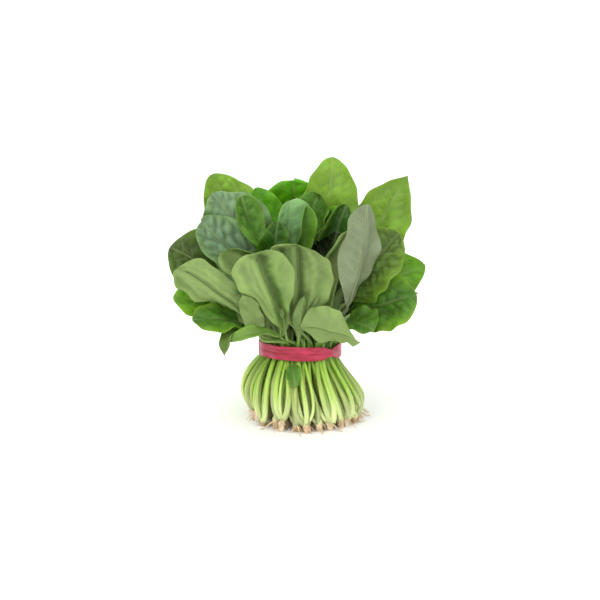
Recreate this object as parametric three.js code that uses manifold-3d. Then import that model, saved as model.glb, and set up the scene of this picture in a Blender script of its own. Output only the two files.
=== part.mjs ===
// A bunch of spinach: young plants pulled with their roots, held at the waist by a doubled rubber band and
// stood on its cut root ends. Each plant grew as one piece, from a crown that carries three leaves on long
// stalks, so its stalks and blades are fused into one solid. Its pale root is a second solid, below.
// Millimetres, +Z up, the front towards -Y. The origin is the middle of the cut end of the central root.
import * as THREE from "three";
import { LoftGeometry } from "three/addons/geometries/LoftGeometry.js";
import { mergeVertices } from "three/addons/utils/BufferGeometryUtils.js";
import Module from "manifold-3d";

const wasm = await Module();
wasm.setup();

// ---- driving dimensions ----

const CROWN_Z = 12; // height of the cut between root and crown
const GAP = 0.35; // kept between solids that touch
const BAND_Z = 64; // middle of the rubber band
const BAND_TALL = 12.4; // over both turns
const BAND_THICK = 1.1;
const WAIST_R = 36.2; // middle of the band's wall
const BAND_SLANT = { x: -0.03, y: -0.08 }; // how much the band rises per millimetre: it sits higher in front
const BAND_CLEAR = 1; // how far above the band a stalk first bends away

const STALK_R = { crown: 3.2, waist: 2.5, blade: 1.6 };
const BLADE_THICK = 0.8;
const RIB_THICK = 1.4; // how much thicker a blade is along its midrib, at the base
const ROOT_R = { top: 4, cut: 2.6 };
const CROWN = { bottom: 4.6, widest: 5.2, widestAt: 4, tall: 11 };
const SQUARE = 1.25; // half the diagonal of a square as large as a circle of radius 1
const SHORTEST = 0.12; // joined solids lose edges and dents smaller than this

// Plants stand in rings. foot is the ring's radius at the crowns and slots are the places of a plant's stalks
// in the band, as [radius, degrees from the plant's heading]. The splayed foot is set a little to +X.
const RINGS = [
  { name: "outer", count: 14, heading: -90, foot: 47, slots: [[30.4, -6.4], [30.4, 6.4], [22.6, 0]] },
  { name: "middle", count: 5, heading: -72, foot: 23, slots: [[15.4, -24], [15.4, 24], [11.6, 0]] },
  { name: "heart", count: 1, heading: -30, foot: 0, slots: [[4.2, -120], [4.2, 0], [4.2, 120]] },
];
const FOOT_SHIFT = 5;
// How far the stalks swell outwards below the band, on the -X side and on the +X side.
const SWELL = { left: 12, right: 4 };
// A stalk's bow below the band is a Bezier curve. It starts at this radius from the middle of the crown, and
// its handles stand out by these shares of the swell, so far above the crown and below the band.
const BOW = { start: 2.6, spread: 8, up: 14, upShare: 0.5, down: 19, downShare: 1.5 };

// ---- the leaves ----

// A leaf's blade runs from foot to tip. face is the way its upper side looks, towards the middle of the bunch
// if none is given. wide is its width, arch how far it bulges to its upper side, fold the degrees that each
// half is lifted about the midrib, cup the curl of its edges, point from 0.3, a blunt tip, to 1, a sharp one,
// widest where along it the blade is widest, wedge from 1, a full base, to 2, a narrow one, and ripple the
// height of the waves along its edges.
const LEAF = { wide: 54, arch: 5, fold: 12, cup: 0.1, point: 0.6, widest: 0.46, wedge: 1, ripple: 2.4 };

// The low leaves, one for each outer place in the band. Those left out follow the rule below.
const LOW = [
  {
    name: "front apron", foot: [0, -41, 92], tip: [46, -74, 90], wide: 46, face: [-0.2, 0.95, 0.45],
    fold: 10, arch: 5, point: 0.4,
  },
  {
    name: "front tall", foot: [-2, -34, 84], tip: [-4, -65, 169], wide: 64, face: [0.1, 1, 0.1],
    fold: -14, arch: 8, point: 0.34, widest: 0.55, wedge: 1.4,
  },
  {
    name: "front pleated", foot: [-11, -40, 81], tip: [-39, -84, 164], wide: 50, face: [0.1, 1, 0.25],
    fold: 10, arch: -3, widest: 0.72, wedge: 1.8,
  },
  {
    name: "front left small", foot: [-34, -44, 84], tip: [-48, -63, 125], wide: 22, face: [0, 1, 0.3],
    fold: 24, point: 1.0,
  },
  {
    name: "left hanging", foot: [-39, -29, 84], tip: [-64, -60, 72], wide: 20, face: [-0.5, -0.4, 1],
    arch: 14, point: 1,
  },
  {
    name: "left spread", foot: [-36, -39, 88], tip: [-103, -62, 147], wide: 58, face: [0.2, 1, 0.5],
    fold: 14, widest: 0.58, wedge: 1.2,
  },
  { name: "left low", foot: [-44, -26, 90], tip: [-92, -44, 98], wide: 46, face: [0.1, -0.6, 1] },
  { name: "far left low", foot: [-50, -12, 94], tip: [-110, -20, 114], face: [0.2, -0.8, 1] },
  { name: "front right upright", foot: [24, -36, 94], tip: [49, -50, 177], wide: 40, fold: 34, widest: 0.35 },
  {
    name: "grey blade", foot: [40, -47, 110], tip: [56, -58, 201], wide: 38, face: [-0.6, 0.8, 0],
    fold: 10, arch: -5, point: 0.45, widest: 0.56,
  },
  { name: "front right tucked", foot: [38, -32, 92], tip: [62, -58, 93], wide: 42, face: [-0.3, -0.4, 1] },
  { name: "right spread", foot: [48, -12, 96], tip: [101, -24, 116], wide: 58, face: [-0.2, -1, 0.6] },
  { name: "far right", foot: [44, 4, 106], tip: [110, 0, 138], wide: 56, face: [-0.3, -1, 0.5], point: 0.8 },
];

// The leaves behind them, one for each inner place of the outer plants.
const HIGH = [
  {
    name: "left behind pleated", foot: [-21, -33, 86], tip: [-61, -58, 163], wide: 46,
    face: [0.2, 1, 0.2], fold: 12, widest: 0.6, wedge: 1.5,
  },
  { name: "behind front tall", foot: [-8, -26, 98], tip: [-17, -47, 156], wide: 44 },
  { name: "behind right upright", foot: [20, -26, 106], tip: [32, -34, 174], wide: 36, fold: 30 },
  { name: "right broad", foot: [44, -24, 112], tip: [84, -34, 173], wide: 60, face: [-0.5, -1, 0.3] },
  {
    name: "top right pointed", foot: [54, 10, 136], tip: [95, 24, 214], wide: 54,
    face: [-0.4, -0.9, 0.2], point: 1.1,
  },
  { name: "top left", foot: [-42, 8, 140], tip: [-77, 20, 216], wide: 52, face: [0.3, -1, 0.2] },
  { name: "far left", foot: [-52, -8, 116], tip: [-113, -10, 156], wide: 66, face: [0.4, -1, 0.6] },
  {
    name: "left blistered low", foot: [-38, -22, 120], tip: [-86, -28, 180], wide: 60,
    face: [0.4, -1, 0.4], arch: 9,
  },
];

// The upright leaves of the middle plants.
const UPRIGHT = [
  {
    name: "left blistered", foot: [-34, -12, 134], tip: [-76, -10, 203], wide: 58, face: [0.4, -1, 0.4],
    arch: 9,
  },
  {
    name: "left narrow", foot: [-37, -22, 138], tip: [-50, -30, 204], wide: 27, face: [0.5, -1, 0],
    fold: 24, point: 0.4, widest: 0.62,
  },
  {
    name: "middle small", foot: [-33, -34, 136], tip: [-19, -44, 185], wide: 30, face: [0.4, -1, 0.1],
    fold: 8,
  },
  {
    name: "middle rolled", foot: [-13, -22, 134], tip: [-9, -32, 200], wide: 26, face: [0.2, -1, 0.1],
    fold: 22, point: 0.5, widest: 0.5,
  },
  {
    name: "right rolled", foot: [-14, -26, 128], tip: [8, -34, 197], wide: 23, face: [0.4, -1, 0.1],
    fold: 40, point: 0.5, widest: 0.5,
  },
  {
    name: "tallest", foot: [22, 6, 150], tip: [29, 28, 230], wide: 52, face: [0, -1, 0.1], fold: 6,
    point: 0.55, widest: 0.3,
  },
  {
    name: "middle right", foot: [8, -4, 146], tip: [14, -4, 204], wide: 40, face: [-0.2, -1, 0.2],
    point: 0.5,
  },
  { name: "right inner", foot: [22, -12, 134], tip: [40, -14, 194], wide: 32, face: [-0.3, -1, 0.1] },
  {
    name: "top middle", foot: [-6, 14, 136], tip: [-6, 8, 212], wide: 60, face: [0, -1, 0.2], fold: 8,
    arch: -8, point: 0.5, widest: 0.7,
  },
  { name: "top middle left", foot: [-18, 2, 138], tip: [-38, 6, 206], wide: 36, face: [0.2, -1, 0.2] },
];

// The rest are set by rule, layer by layer: the headings they are spread over, how far their tips lean from
// upright and reach from the middle of the waist, and how long and wide they are.
const LAYERS = [
  { leaves: LOW, total: 28, from: 14, to: 178, lean: [68, 52], reach: 120, blade: 80, wide: 47, fold: 12 },
  { leaves: HIGH, total: 14, from: 32, to: 150, lean: [38, 30], reach: 144, blade: 84, wide: 52, fold: 14 },
  {
    leaves: UPRIGHT, total: 15, from: -20, to: 150, lean: [20, 14], reach: 134, blade: 68, wide: 32,
    fold: 34,
  },
  { leaves: [], total: 3, from: -180, to: 180, lean: [6, 4], reach: 122, blade: 56, wide: 26, fold: 40 },
];
// How many rows and columns of facets a blade has: the named ones, and the rest.
const FACETS = { named: [5, 4], ruled: [5, 2] };
// What is drawn for each leaf set by rule: degrees of heading and of lean, and a share of its size.
const VARIED = { heading: 5, lean: 5, size: 0.16 };
const FOOT_LEAN = 0.85; // the foot of a leaf set by rule leans this much of what its tip does
const SEED = 7;

let draw = SEED;
// The next number from 0 to 1 of a fixed sequence.
function random() {
  draw = (Math.imul(draw, 1664525) + 1013904223) >>> 0;
  return draw / 2 ** 32;
}

// A draw from minus to plus half the amount.
const varied = (amount) => amount * (random() - 0.5);

// ---- small helpers ----

const rad = THREE.MathUtils.degToRad;
const lerp = THREE.MathUtils.lerp;
const vec = (x, y, z) => new THREE.Vector3(x, y, z);

// The point at a radius, heading and height.
const polar = (radius, az, z = 0) => vec(radius * Math.cos(rad(az)), radius * Math.sin(rad(az)), z);

// The unit vector with that lean from upright and that heading.
const leaning = (lean, az) => polar(Math.sin(rad(lean)), az, Math.cos(rad(lean)));

const headingOf = (point) => THREE.MathUtils.radToDeg(Math.atan2(point.y, point.x));

// The turn between two headings, from -180 to 180.
const turnFrom = (a, b) => ((((b - a) % 360) + 540) % 360) - 180;

// A closed geometry as a manifold-3d solid.
function solidOf(geometry) {
  const bare = new THREE.BufferGeometry();
  bare.setAttribute("position", geometry.getAttribute("position"));
  bare.setIndex(geometry.index);
  const merged = mergeVertices(bare, 1e-4);
  const vertProperties = merged.attributes.position.array;
  const triVerts = new Uint32Array(merged.index.array);
  return new wasm.Manifold(new wasm.Mesh({ numProp: 3, vertProperties, triVerts }));
}

// A solid as a geometry that three.js can draw.
function geometryOf(solid) {
  const { vertProperties, triVerts } = solid.getMesh();
  const geometry = new THREE.BufferGeometry();
  geometry.setAttribute("position", new THREE.BufferAttribute(vertProperties, 3));
  geometry.setIndex(new THREE.BufferAttribute(triVerts, 1));
  geometry.computeVertexNormals();
  return geometry;
}

const union = (solids) => wasm.Manifold.union(solids);

// The height of the band's middle over a point.
const bandMiddle = (point) => BAND_Z + point.x * BAND_SLANT.x + point.y * BAND_SLANT.y;

// Whether two solids have a common volume.
const touches = (a, b) => a.intersect(b).volume() > 0.001;

// The largest body of a solid, without the scraps a cut leaves.
const largest = (solid) => solid.decompose().sort((a, b) => b.volume() - a.volume())[0];

// ---- planting ----

// The leaves of a layer: those with a place of their own, and the rest spread evenly over its headings.
function layerLeaves(layer) {
  const { leaves, total, from, to, lean, reach, blade, wide, fold } = layer;
  const placed = leaves.map((leaf) => ({ ...LEAF, ...leaf, foot: vec(...leaf.foot), tip: vec(...leaf.tip) }));
  const count = total - leaves.length;
  const ruled = Array.from({ length: count }, (_, i) => {
    const az = lerp(from, to, (i + 0.5) / count) + varied(VARIED.heading);
    const tilt = lean[i % 2] + varied(VARIED.lean);
    const size = 1 + varied(VARIED.size);
    const foot = leaning(tilt * FOOT_LEAN, az).multiplyScalar(reach - blade * size).add(vec(0, 0, BAND_Z));
    const tip = leaning(tilt, az).multiplyScalar(reach).add(vec(0, 0, BAND_Z));
    return { ...LEAF, foot, tip, wide: wide * size, fold };
  });
  return [...placed, ...ruled].map((leaf) => {
    const az = headingOf(leaf.foot);
    const inward = polar(-1, headingOf(leaf.foot.clone().add(leaf.tip)), 0.5);
    const face = leaf.face ? vec(...leaf.face) : inward;
    return { ...leaf, az, face: face.normalize(), phase: random() };
  });
}

// Deals leaves to places so that their headings agree as well as one turn of the ring allows.
function deal(leaves, places) {
  const byHeading = [...leaves].sort((a, b) => a.az - b.az);
  const round = [...places].sort((a, b) => a.az - b.az);
  const misfit = (shift) =>
    byHeading.reduce((sum, leaf, i) => sum + turnFrom(leaf.az, round[(i + shift) % round.length].az) ** 2, 0);
  const shifts = round.map((_, i) => i);
  const best = shifts.reduce((a, b) => (misfit(b) < misfit(a) ? b : a));
  byHeading.forEach((leaf, i) => {
    const place = round[(i + best) % round.length];
    place.plant.leaves.push({ leaf, slot: place.slot });
  });
}

// Every plant with its foot, and its leaves in their places in the band.
function allPlants() {
  const plants = [];
  const places = [[], [], [], []];
  RINGS.forEach((ring, r) => {
    for (let k = 0; k < ring.count; k++) {
      const az = ring.heading + (360 / ring.count) * k;
      const foot = polar(ring.foot, az).add(vec(ring.foot ? FOOT_SHIFT : 0, 0, 0));
      const waist = polar(ring.slots.reduce((sum, [radius]) => sum + radius, 0) / ring.slots.length, az);
      const plant = { ring: ring.name, number: k + 1, az, foot, waist, leaves: [] };
      ring.slots.forEach(([radius, offset], i) => {
        const slot = polar(radius, az + offset);
        const layer = r === 0 ? (i < 2 ? 0 : 1) : r + 1;
        places[layer].push({ plant, slot, az: headingOf(slot) });
      });
      plants.push(plant);
    }
  });
  LAYERS.forEach((layer, i) => deal(layerLeaves(layer), places[i]));
  return plants;
}

// ---- stalks ----

// A leaf's three curves: from the crown up to the band, on up to the foot of the blade, and along its midrib.
function leafCurves(plant, { leaf, slot }) {
  const low = slot.clone().setZ(bandMiddle(slot) - BAND_TALL / 2);
  const high = slot.clone().setZ(bandMiddle(slot) + BAND_TALL / 2 + BAND_CLEAR);
  const crown = plant.foot.clone().setZ(CROWN_Z + 2);
  const spread = slot.clone().sub(plant.waist).normalize();
  const outward = slot.length() / 30;
  const swell = lerp(SWELL.left, SWELL.right, (Math.cos(rad(headingOf(slot))) + 1) / 2) * outward ** 2;
  const below = new THREE.CubicBezierCurve3(
    crown.clone().addScaledVector(spread, BOW.start),
    crown.clone().addScaledVector(spread, BOW.spread).add(polar(swell * BOW.upShare, plant.az, BOW.up)),
    low.clone().add(polar(swell * BOW.downShare, headingOf(slot), -BOW.down)),
    low,
  );
  const middle = leaf.foot.clone().lerp(leaf.tip, 0.5).addScaledVector(leaf.face, leaf.arch * 2);
  const rib = new THREE.QuadraticBezierCurve3(leaf.foot, middle, leaf.tip);
  const far = high.distanceTo(leaf.foot);
  const above = new THREE.CubicBezierCurve3(
    high,
    high.clone().lerp(leaf.foot, 0.2).add(vec(0, 0, far * 0.2)),
    leaf.foot.clone().addScaledVector(rib.getTangentAt(0), -far * 0.25),
    leaf.foot,
  );
  return { below, above, rib };
}

// A square section of a stalk, at a point of one of its curves.
function squareRing(curve, at, leaf, radius) {
  const middle = curve.getPointAt(at);
  const along = curve.getTangentAt(at);
  const side = leaf.face.clone().cross(along).normalize();
  const up = along.clone().cross(side);
  const corner = (turn) =>
    middle.clone()
      .addScaledVector(side, radius * Math.cos(rad(turn)))
      .addScaledVector(up, radius * Math.sin(rad(turn)));
  return [45, 135, 225, 315].map(corner);
}

// The stalk's sections, from the crown to the foot of the blade. extra swells it all round.
function stalkRings({ below, above }, leaf, extra = 0) {
  const size = (from, to, share) => SQUARE * (lerp(from, to, share) + extra);
  return [
    ...[0, 0.5, 1].map((at) => squareRing(below, at, leaf, size(STALK_R.crown, STALK_R.waist, at))),
    ...[0, 0.45, 0.96].map((at) => squareRing(above, at, leaf, size(STALK_R.waist, STALK_R.blade, at))),
  ];
}

// The room a stalk takes up with a gap round it, and a little way into its blade.
function stalkRoom(curves, leaf, gap, into) {
  const end = squareRing(curves.rib, into, leaf, SQUARE * (STALK_R.blade + gap));
  return solidThrough([...stalkRings(curves, leaf, gap), end]);
}

// ---- blades ----

// Half the width of a blade at t, from 0 at its foot to 1 at its tip: a wedge that swells to its widest
// place, then rounds off to the tip.
function halfWidth({ wide, widest, wedge, point }, t) {
  const share = t < widest ? 1 - (1 - t / widest) ** 2 : 1 - ((t - widest) / (1 - widest)) ** 2;
  return Math.max((wide / 2) * share ** (t < widest ? wedge : point), 1.6);
}

// The point of the blade's middle surface at t along it and v across it, from -1 to 1, and its upper normal.
function bladePoint(curves, leaf, t, v) {
  const rib = curves.rib.getPointAt(t);
  const along = curves.rib.getTangentAt(t);
  const face = leaf.face.clone().addScaledVector(along, -leaf.face.dot(along)).normalize();
  const side = face.clone().cross(along);
  const half = halfWidth(leaf, t);
  const wave = leaf.ripple * v * v * Math.sin(2 * Math.PI * (1.5 * t + leaf.phase) + (v > 0 ? 2 : 0));
  const lift = rad(leaf.fold);
  const rise = half * (Math.abs(v) * Math.sin(lift) + leaf.cup * v * v) + wave * Math.min(1, half / 12);
  const point = rib.addScaledVector(side, half * v * Math.cos(lift)).addScaledVector(face, rise);
  return { point, face, side, along };
}

// The blade's sections: each goes over the upper side and back under the lower one, which is thicker along
// the midrib. extra swells the blade all round.
function bladeRings(curves, leaf, extra = 0) {
  const [rows, columns] = leaf.name ? FACETS.named : FACETS.ruled;
  return Array.from({ length: rows + 1 }, (_, row) => {
    const t = 0.5 - 0.5 * Math.cos((Math.PI * row) / rows);
    const upper = [];
    const lower = [];
    for (let column = 0; column <= columns; column++) {
      const v = 1 - (2 * column) / columns;
      const { point, face, side, along } = bladePoint(curves, leaf, t, v);
      const rib = v === 0 ? RIB_THICK * (1 - t) : 0;
      point.addScaledVector(side, Math.trunc(v) * extra);
      point.addScaledVector(along, (Math.trunc(t) - (row === 0 ? 1 : 0)) * extra);
      upper.push(point.clone().addScaledVector(face, BLADE_THICK / 2 + extra));
      lower.unshift(point.clone().addScaledVector(face, -BLADE_THICK / 2 - rib - extra));
    }
    return [...upper, ...lower];
  });
}

// A closed solid through sections that go round anticlockwise, looking back from the end. Sections may have
// different numbers of corners: the first half of each is its upper side. Facets on the two sides of a blade
// are split the same way.
function solidThrough(rings) {
  const faces = [];
  const starts = rings.map((_, i) => rings.slice(0, i).reduce((sum, ring) => sum + ring.length, 0));
  for (let i = 0; i + 1 < rings.length; i++) {
    const [n, m] = [rings[i].length, rings[i + 1].length];
    const a = (k) => starts[i] + (k % n);
    const b = (k) => starts[i + 1] + (k % m);
    if (n === m) {
      for (let k = 0; k < n; k++) {
        if (k < n / 2) faces.push(a(k), a(k + 1), b(k), a(k + 1), b(k + 1), b(k));
        else faces.push(a(k), a(k + 1), b(k + 1), a(k), b(k + 1), b(k));
      }
      continue;
    }
    // from a square of four corners to a blade: each corner meets the end of a side
    const corners = [0, m / 2 - 1, m / 2, m - 1, m];
    for (let k = 0; k < n; k++) {
      faces.push(a(k), a(k + 1), b(corners[k + 1]));
      for (let c = corners[k]; c < corners[k + 1]; c++) faces.push(a(k), b(c + 1), b(c));
    }
  }
  const cap = (start, n, flip) => {
    for (let k = 0; k < n / 2 - 1; k++) {
      const [p, q, r, t] = [start + k, start + k + 1, start + n - 2 - k, start + n - 1 - k];
      faces.push(...(flip ? [q, p, t, q, t, r] : [p, q, r, p, r, t]));
    }
  };
  cap(0, rings[0].length, true);
  cap(starts.at(-1), rings.at(-1).length, false);
  const geometry = new THREE.BufferGeometry().setFromPoints(rings.flat());
  geometry.setIndex(faces);
  return solidOf(geometry);
}

// ---- crowns and roots ----

// A solid of revolution about the upright through the foot, from [radius, z] pairs, bottom first.
function turned(foot, profile, sides) {
  const points = profile.map(([radius, z]) => new THREE.Vector2(radius, z));
  const lathe = new THREE.LatheGeometry(points, sides);
  lathe.rotateX(Math.PI / 2);
  lathe.translate(foot.x, foot.y, 0);
  return solidOf(lathe);
}

function crownSolid(foot) {
  const [bottom, middle, top] = [GAP, CROWN.widestAt, CROWN.tall].map((height) => CROWN_Z + height);
  return turned(foot, [[0, bottom], [CROWN.bottom, bottom], [CROWN.widest, middle], [0, top]], 6);
}

const rootSolid = (foot) => turned(foot, [[0, 0], [ROOT_R.cut, 0], [ROOT_R.top, CROWN_Z], [0, CROWN_Z]], 8);

// ---- the rubber band ----

// The band is one loop wound twice: the turns lie one above the other, and change places at CROSSING, where
// one passes outside the other.
const CROSSING = { az: -42, width: 44 };
function bandSection(turn) {
  const away = ((turn % 1) - 0.5) * 360;
  const share = THREE.MathUtils.smoothstep(away, -CROSSING.width / 2, CROSSING.width / 2);
  const first = turn < 1;
  const tall = (BAND_TALL - GAP) / 2;
  const rise = (first ? 1 : -1) * ((tall + GAP) / 2) * (1 - 2 * share);
  const out = first ? Math.sin(Math.PI * share) * (BAND_THICK + GAP) : 0;
  const inner = WAIST_R - BAND_THICK / 2 + out;
  const outer = inner + BAND_THICK;
  const az = CROSSING.az + away;
  const middle = bandMiddle(polar(WAIST_R, az)) + rise;
  return [[inner, 1], [outer, 1], [outer, -1], [inner, -1]].map(([r, end]) =>
    polar(r, az, middle + (end * tall) / 2),
  );
}

function bandSolid() {
  const steps = 72;
  const sections = Array.from({ length: steps + 1 }, (_, i) => bandSection(((2 * i) / steps) % 2));
  return solidOf(new LoftGeometry(sections));
}

// ---- the object ----

const GREEN = new THREE.MeshStandardMaterial({ color: "#5c8439", roughness: 0.55, metalness: 0 });
const ROOT_PINK = new THREE.MeshStandardMaterial({ color: "#d9b08c", roughness: 0.8, metalness: 0 });
const RUBBER_RED = new THREE.MeshStandardMaterial({ color: "#cf2f55", roughness: 0.45, metalness: 0 });

const bunch = new THREE.Group();
bunch.name = "spinach_bunch";

function addNode(name, solid, material) {
  const mesh = new THREE.Mesh(geometryOf(solid), material);
  mesh.name = name;
  bunch.add(mesh);
}

const plants = allPlants();
const leaves = plants.flatMap((plant) =>
  plant.leaves.map((place) => ({ plant, leaf: place.leaf, curves: leafCurves(plant, place) })),
);
for (const one of leaves) {
  const { curves, leaf } = one;
  one.whole = solidThrough([...stalkRings(curves, leaf), ...bladeRings(curves, leaf)]);
  one.stalkRoom = stalkRoom(curves, leaf, 2 * GAP, 0.04);
  one.stalkKept = stalkRoom(curves, leaf, GAP, 0.02);
  one.bladeRoom = solidThrough(bladeRings(curves, leaf, GAP));
}
// Blades of different plants never touch: each is cut back, with a gap, where it would run into the stalk of
// another plant or into a blade laid before it. Leaves with a place of their own are laid first.
const laid = [];
for (const one of [...leaves].sort((a, b) => Number(Boolean(b.leaf.name)) - Number(Boolean(a.leaf.name)))) {
  const strangers = (list) => list.filter((other) => other.plant !== one.plant);
  const rooms = [
    ...strangers(leaves).map((other) => other.stalkRoom),
    ...strangers(laid).map((other) => other.bladeRoom),
  ].filter((room) => touches(room, one.bladeRoom));
  one.solid = rooms.length ? largest(one.whole.subtract(union(rooms).subtract(one.stalkKept))) : one.whole;
  laid.push(one);
}
for (const plant of plants) {
  const own = leaves.filter((one) => one.plant === plant).map((one) => one.solid);
  const solid = largest(union([crownSolid(plant.foot), ...own]).simplify(SHORTEST));
  addNode(`plant_${plant.ring}_${plant.number}`, solid, GREEN);
  addNode(`root_${plant.ring}_${plant.number}`, rootSolid(plant.foot), ROOT_PINK);
}
addNode("rubber_band", bandSolid(), RUBBER_RED);

export default bunch;
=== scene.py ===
# %% [markdown]
# # A bunch of spinach
#
# This lesson dresses a bunch of young spinach: twenty plants pulled with their roots, held at the waist by a
# rubber band and stood on the cut ends of their roots. The solid model is loaded first, as a fixed frame that
# is never moved. Every plant in it is then replaced by a finer one that grows along the same curves, so the
# bunch keeps its size and outline while the leaves get their veins, blisters and soft edges.

import math

import bpy
import numpy as np
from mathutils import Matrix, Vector


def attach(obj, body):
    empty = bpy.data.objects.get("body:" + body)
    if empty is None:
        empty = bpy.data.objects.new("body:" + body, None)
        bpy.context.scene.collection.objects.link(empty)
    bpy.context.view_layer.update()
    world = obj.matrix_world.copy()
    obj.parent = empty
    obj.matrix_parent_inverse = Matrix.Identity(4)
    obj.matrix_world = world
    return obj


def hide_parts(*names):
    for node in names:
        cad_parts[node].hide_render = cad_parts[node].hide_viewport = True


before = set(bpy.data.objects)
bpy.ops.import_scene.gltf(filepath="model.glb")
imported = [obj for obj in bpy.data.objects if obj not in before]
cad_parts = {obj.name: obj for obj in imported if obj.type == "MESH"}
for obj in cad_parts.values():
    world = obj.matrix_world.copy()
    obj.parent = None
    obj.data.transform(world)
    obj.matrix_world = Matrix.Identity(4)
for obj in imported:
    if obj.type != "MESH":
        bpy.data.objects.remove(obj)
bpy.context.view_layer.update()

# %% [markdown]
# ## Units, vectors and curves
#
# Plants are measured in millimetres, so every length below is in millimetres, and one factor turns them into
# Blender's metres when a mesh is made. Stalks and midribs are Bezier curves. They could be Blender curve
# objects, but leaves need points of them at even steps, with directions, so they are worked out with numpy.

# %% Vectors
MM = 0.001


def unit(vectors):
    """Each vector divided by its own length. One that has no length stays as it is."""
    vectors = np.asarray(vectors, float)
    return vectors / np.maximum(np.linalg.norm(vectors, axis=-1, keepdims=True), 1e-12)


def polar(radius, heading, z=0.0):
    """The point at that radius and height whose heading, in degrees, is counted from +X towards +Y."""
    turn = np.radians(heading)
    return np.array([radius * np.cos(turn), radius * np.sin(turn), z])


def leaning(lean, heading):
    """The unit vector that leans that many degrees from upright, towards that heading."""
    return polar(math.sin(math.radians(lean)), heading, math.cos(math.radians(lean)))


def heading_of(point):
    """The heading of a point, in degrees from -180 to 180."""
    return math.degrees(math.atan2(point[1], point[0]))


def mix(a, b, share):
    """a where share is 0, b where it is 1, and the straight line between them."""
    return a + (b - a) * share


def smooth(low, high, values):
    """0 below low and 1 above high, with an S between: 3 x squared less 2 x cubed."""
    x = np.clip((values - low) / (high - low), 0, 1)
    return x * x * (3 - 2 * x)


print("30 degrees from upright, towards +Y:", np.round(leaning(30, 90), 3).tolist())

# %% Curves
CHORDS = 200


def on_bezier(controls, t):
    """Neighbouring control points are mixed in the share t, over and over, until one point is left."""
    points = [np.asarray(point, float)[None, :] for point in controls]
    while len(points) > 1:
        points = [mix(a, b, t[:, None]) for a, b in zip(points, points[1:])]
    return points[0]


def walk(controls, shares):
    """The points, unit directions and length of a Bezier curve, at shares of its length.

    The curve is cut into chords. Their lengths, added up, say which t lies at each share of the whole. The
    direction is the curve of the differences between neighbouring controls.
    """
    t = np.linspace(0, 1, CHORDS + 1)
    chords = np.linalg.norm(np.diff(on_bezier(controls, t), axis=0), axis=1)
    reached = np.concatenate([[0], np.cumsum(chords)])
    t = np.interp(np.asarray(shares) * reached[-1], reached, t)
    ahead = np.diff(np.asarray(controls, float), axis=0)
    return on_bezier(controls, t), unit(on_bezier(ahead, t)), reached[-1]


# handles of 0.5523 make a Bezier curve nearly a quarter of a circle
QUARTER = [(1, 0, 0), (1, 0.5523, 0), (0.5523, 1, 0), (0, 1, 0)]
print("a quarter of a circle:", round(walk(QUARTER, [1])[2], 4), "long, and should be", round(math.pi / 2, 4))

# %% [markdown]
# ## The plan of the bunch
#
# The frame was built by a rule: three rings of plants, each with places in the band for its stalks, and four
# layers of leaves that are dealt to those places by heading. The same rule is followed here, with the same
# numbers, and so the fine leaves lie where the solid ones do. Leaves that give the bunch its outline have a
# place of their own, and each of them has a tint and a measure of how blistered it is. The rest are drawn
# from a fixed sequence of random numbers.

# %% Sizes
# the band: the height of its middle, how tall it is over both turns, how much it rises per millimetre along X
# and Y, how far above it a stalk first bends away, and the radius of its wall
BAND_Z = 64.0
BAND_TALL = 12.4
BAND_THICK = 1.1
BAND_SLANT = (-0.03, -0.08)
BAND_CLEAR = 1.0
WAIST_R = 36.2

# the stalks: the height of the cut between root and crown, how far above it they start, their radii, how far
# one that stands at 30 mm in the band swells outwards below it, on the left and on the right, and where the
# handles of that bow stand, as millimetres and as shares of the swell
CROWN_Z = 12.0
STALK_R = {"crown": 2.7, "waist": 2.1, "blade": 1.4}
STALK_START = 2.0
SWELL = {"left": 12.0, "right": 4.0, "at": 30.0}
BOW = {"start": 2.6, "young_start": 1.6, "spread": 8.0, "up": 14.0, "up_share": 0.5, "down": 19.0,
       "down_share": 1.5}

# the plants: rings of them, with the radius of their feet, the places of each plant's stalks in the band as
# radius and degrees from its heading, and which layer of leaves each of the places gets. The splayed feet are
# shifted a little to +X.
FOOT_SHIFT = 5.0
RINGS = [
    dict(name="outer", count=14, heading=-90, foot=47, slots=[(30.4, -6.4), (30.4, 6.4), (22.6, 0)],
         layers=(0, 0, 1)),
    dict(name="middle", count=5, heading=-72, foot=23, slots=[(15.4, -24), (15.4, 24), (11.6, 0)],
         layers=(2, 2, 2)),
    dict(name="heart", count=1, heading=-30, foot=0, slots=[(4.2, -120), (4.2, 0), (4.2, 120)],
         layers=(3, 3, 3)),
]
print("band: waist", 2 * WAIST_R, "mm across,", BAND_Z, "mm above the table")

# %% [markdown]
# ### The leaves that have a place of their own
#
# A blade runs from foot to tip, and its upper side looks towards face. at only says where in the bunch it is.
# Its other measures are millimetres, degrees or shares:
#
# - wide is its width, and widest where along it that is. wedge and point say how it narrows to its foot and
#   to its tip: the higher, the sharper.
# - arch is how far its midrib bulges to the upper side, fold how steeply both halves are lifted about the
#   midrib, cup how much more their edges are, and roll how far the margins curl up.
# - ripple is the height of its waves, savoy that of its blisters and pleat that of the pleats at its foot.
#   Each crease is a place across it, from -1 to 1, a depth and a width.
# - tint names its colour, further down. matt is how much of the underside's own pale colour it shows, and
#   edge how wide its yellow margin is, which is partly painted light shining through the thin edge.
# - bulge is how much more its stalk bows out below the band. A young leaf is one that only this script has.
#
# They could be drawn at random like the rest, but these are the leaves that one knows the bunch by.

# %% The usual leaf
LEAF = dict(wide=54, widest=0.46, wedge=1.0, point=0.6, arch=5, fold=12, cup=0.1, roll=0.0, ripple=2.4,
            savoy=0.8, pleat=0.0, creases=(), tint="green", matt=1.0, edge=1.0, bulge=0, young=False)

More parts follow.
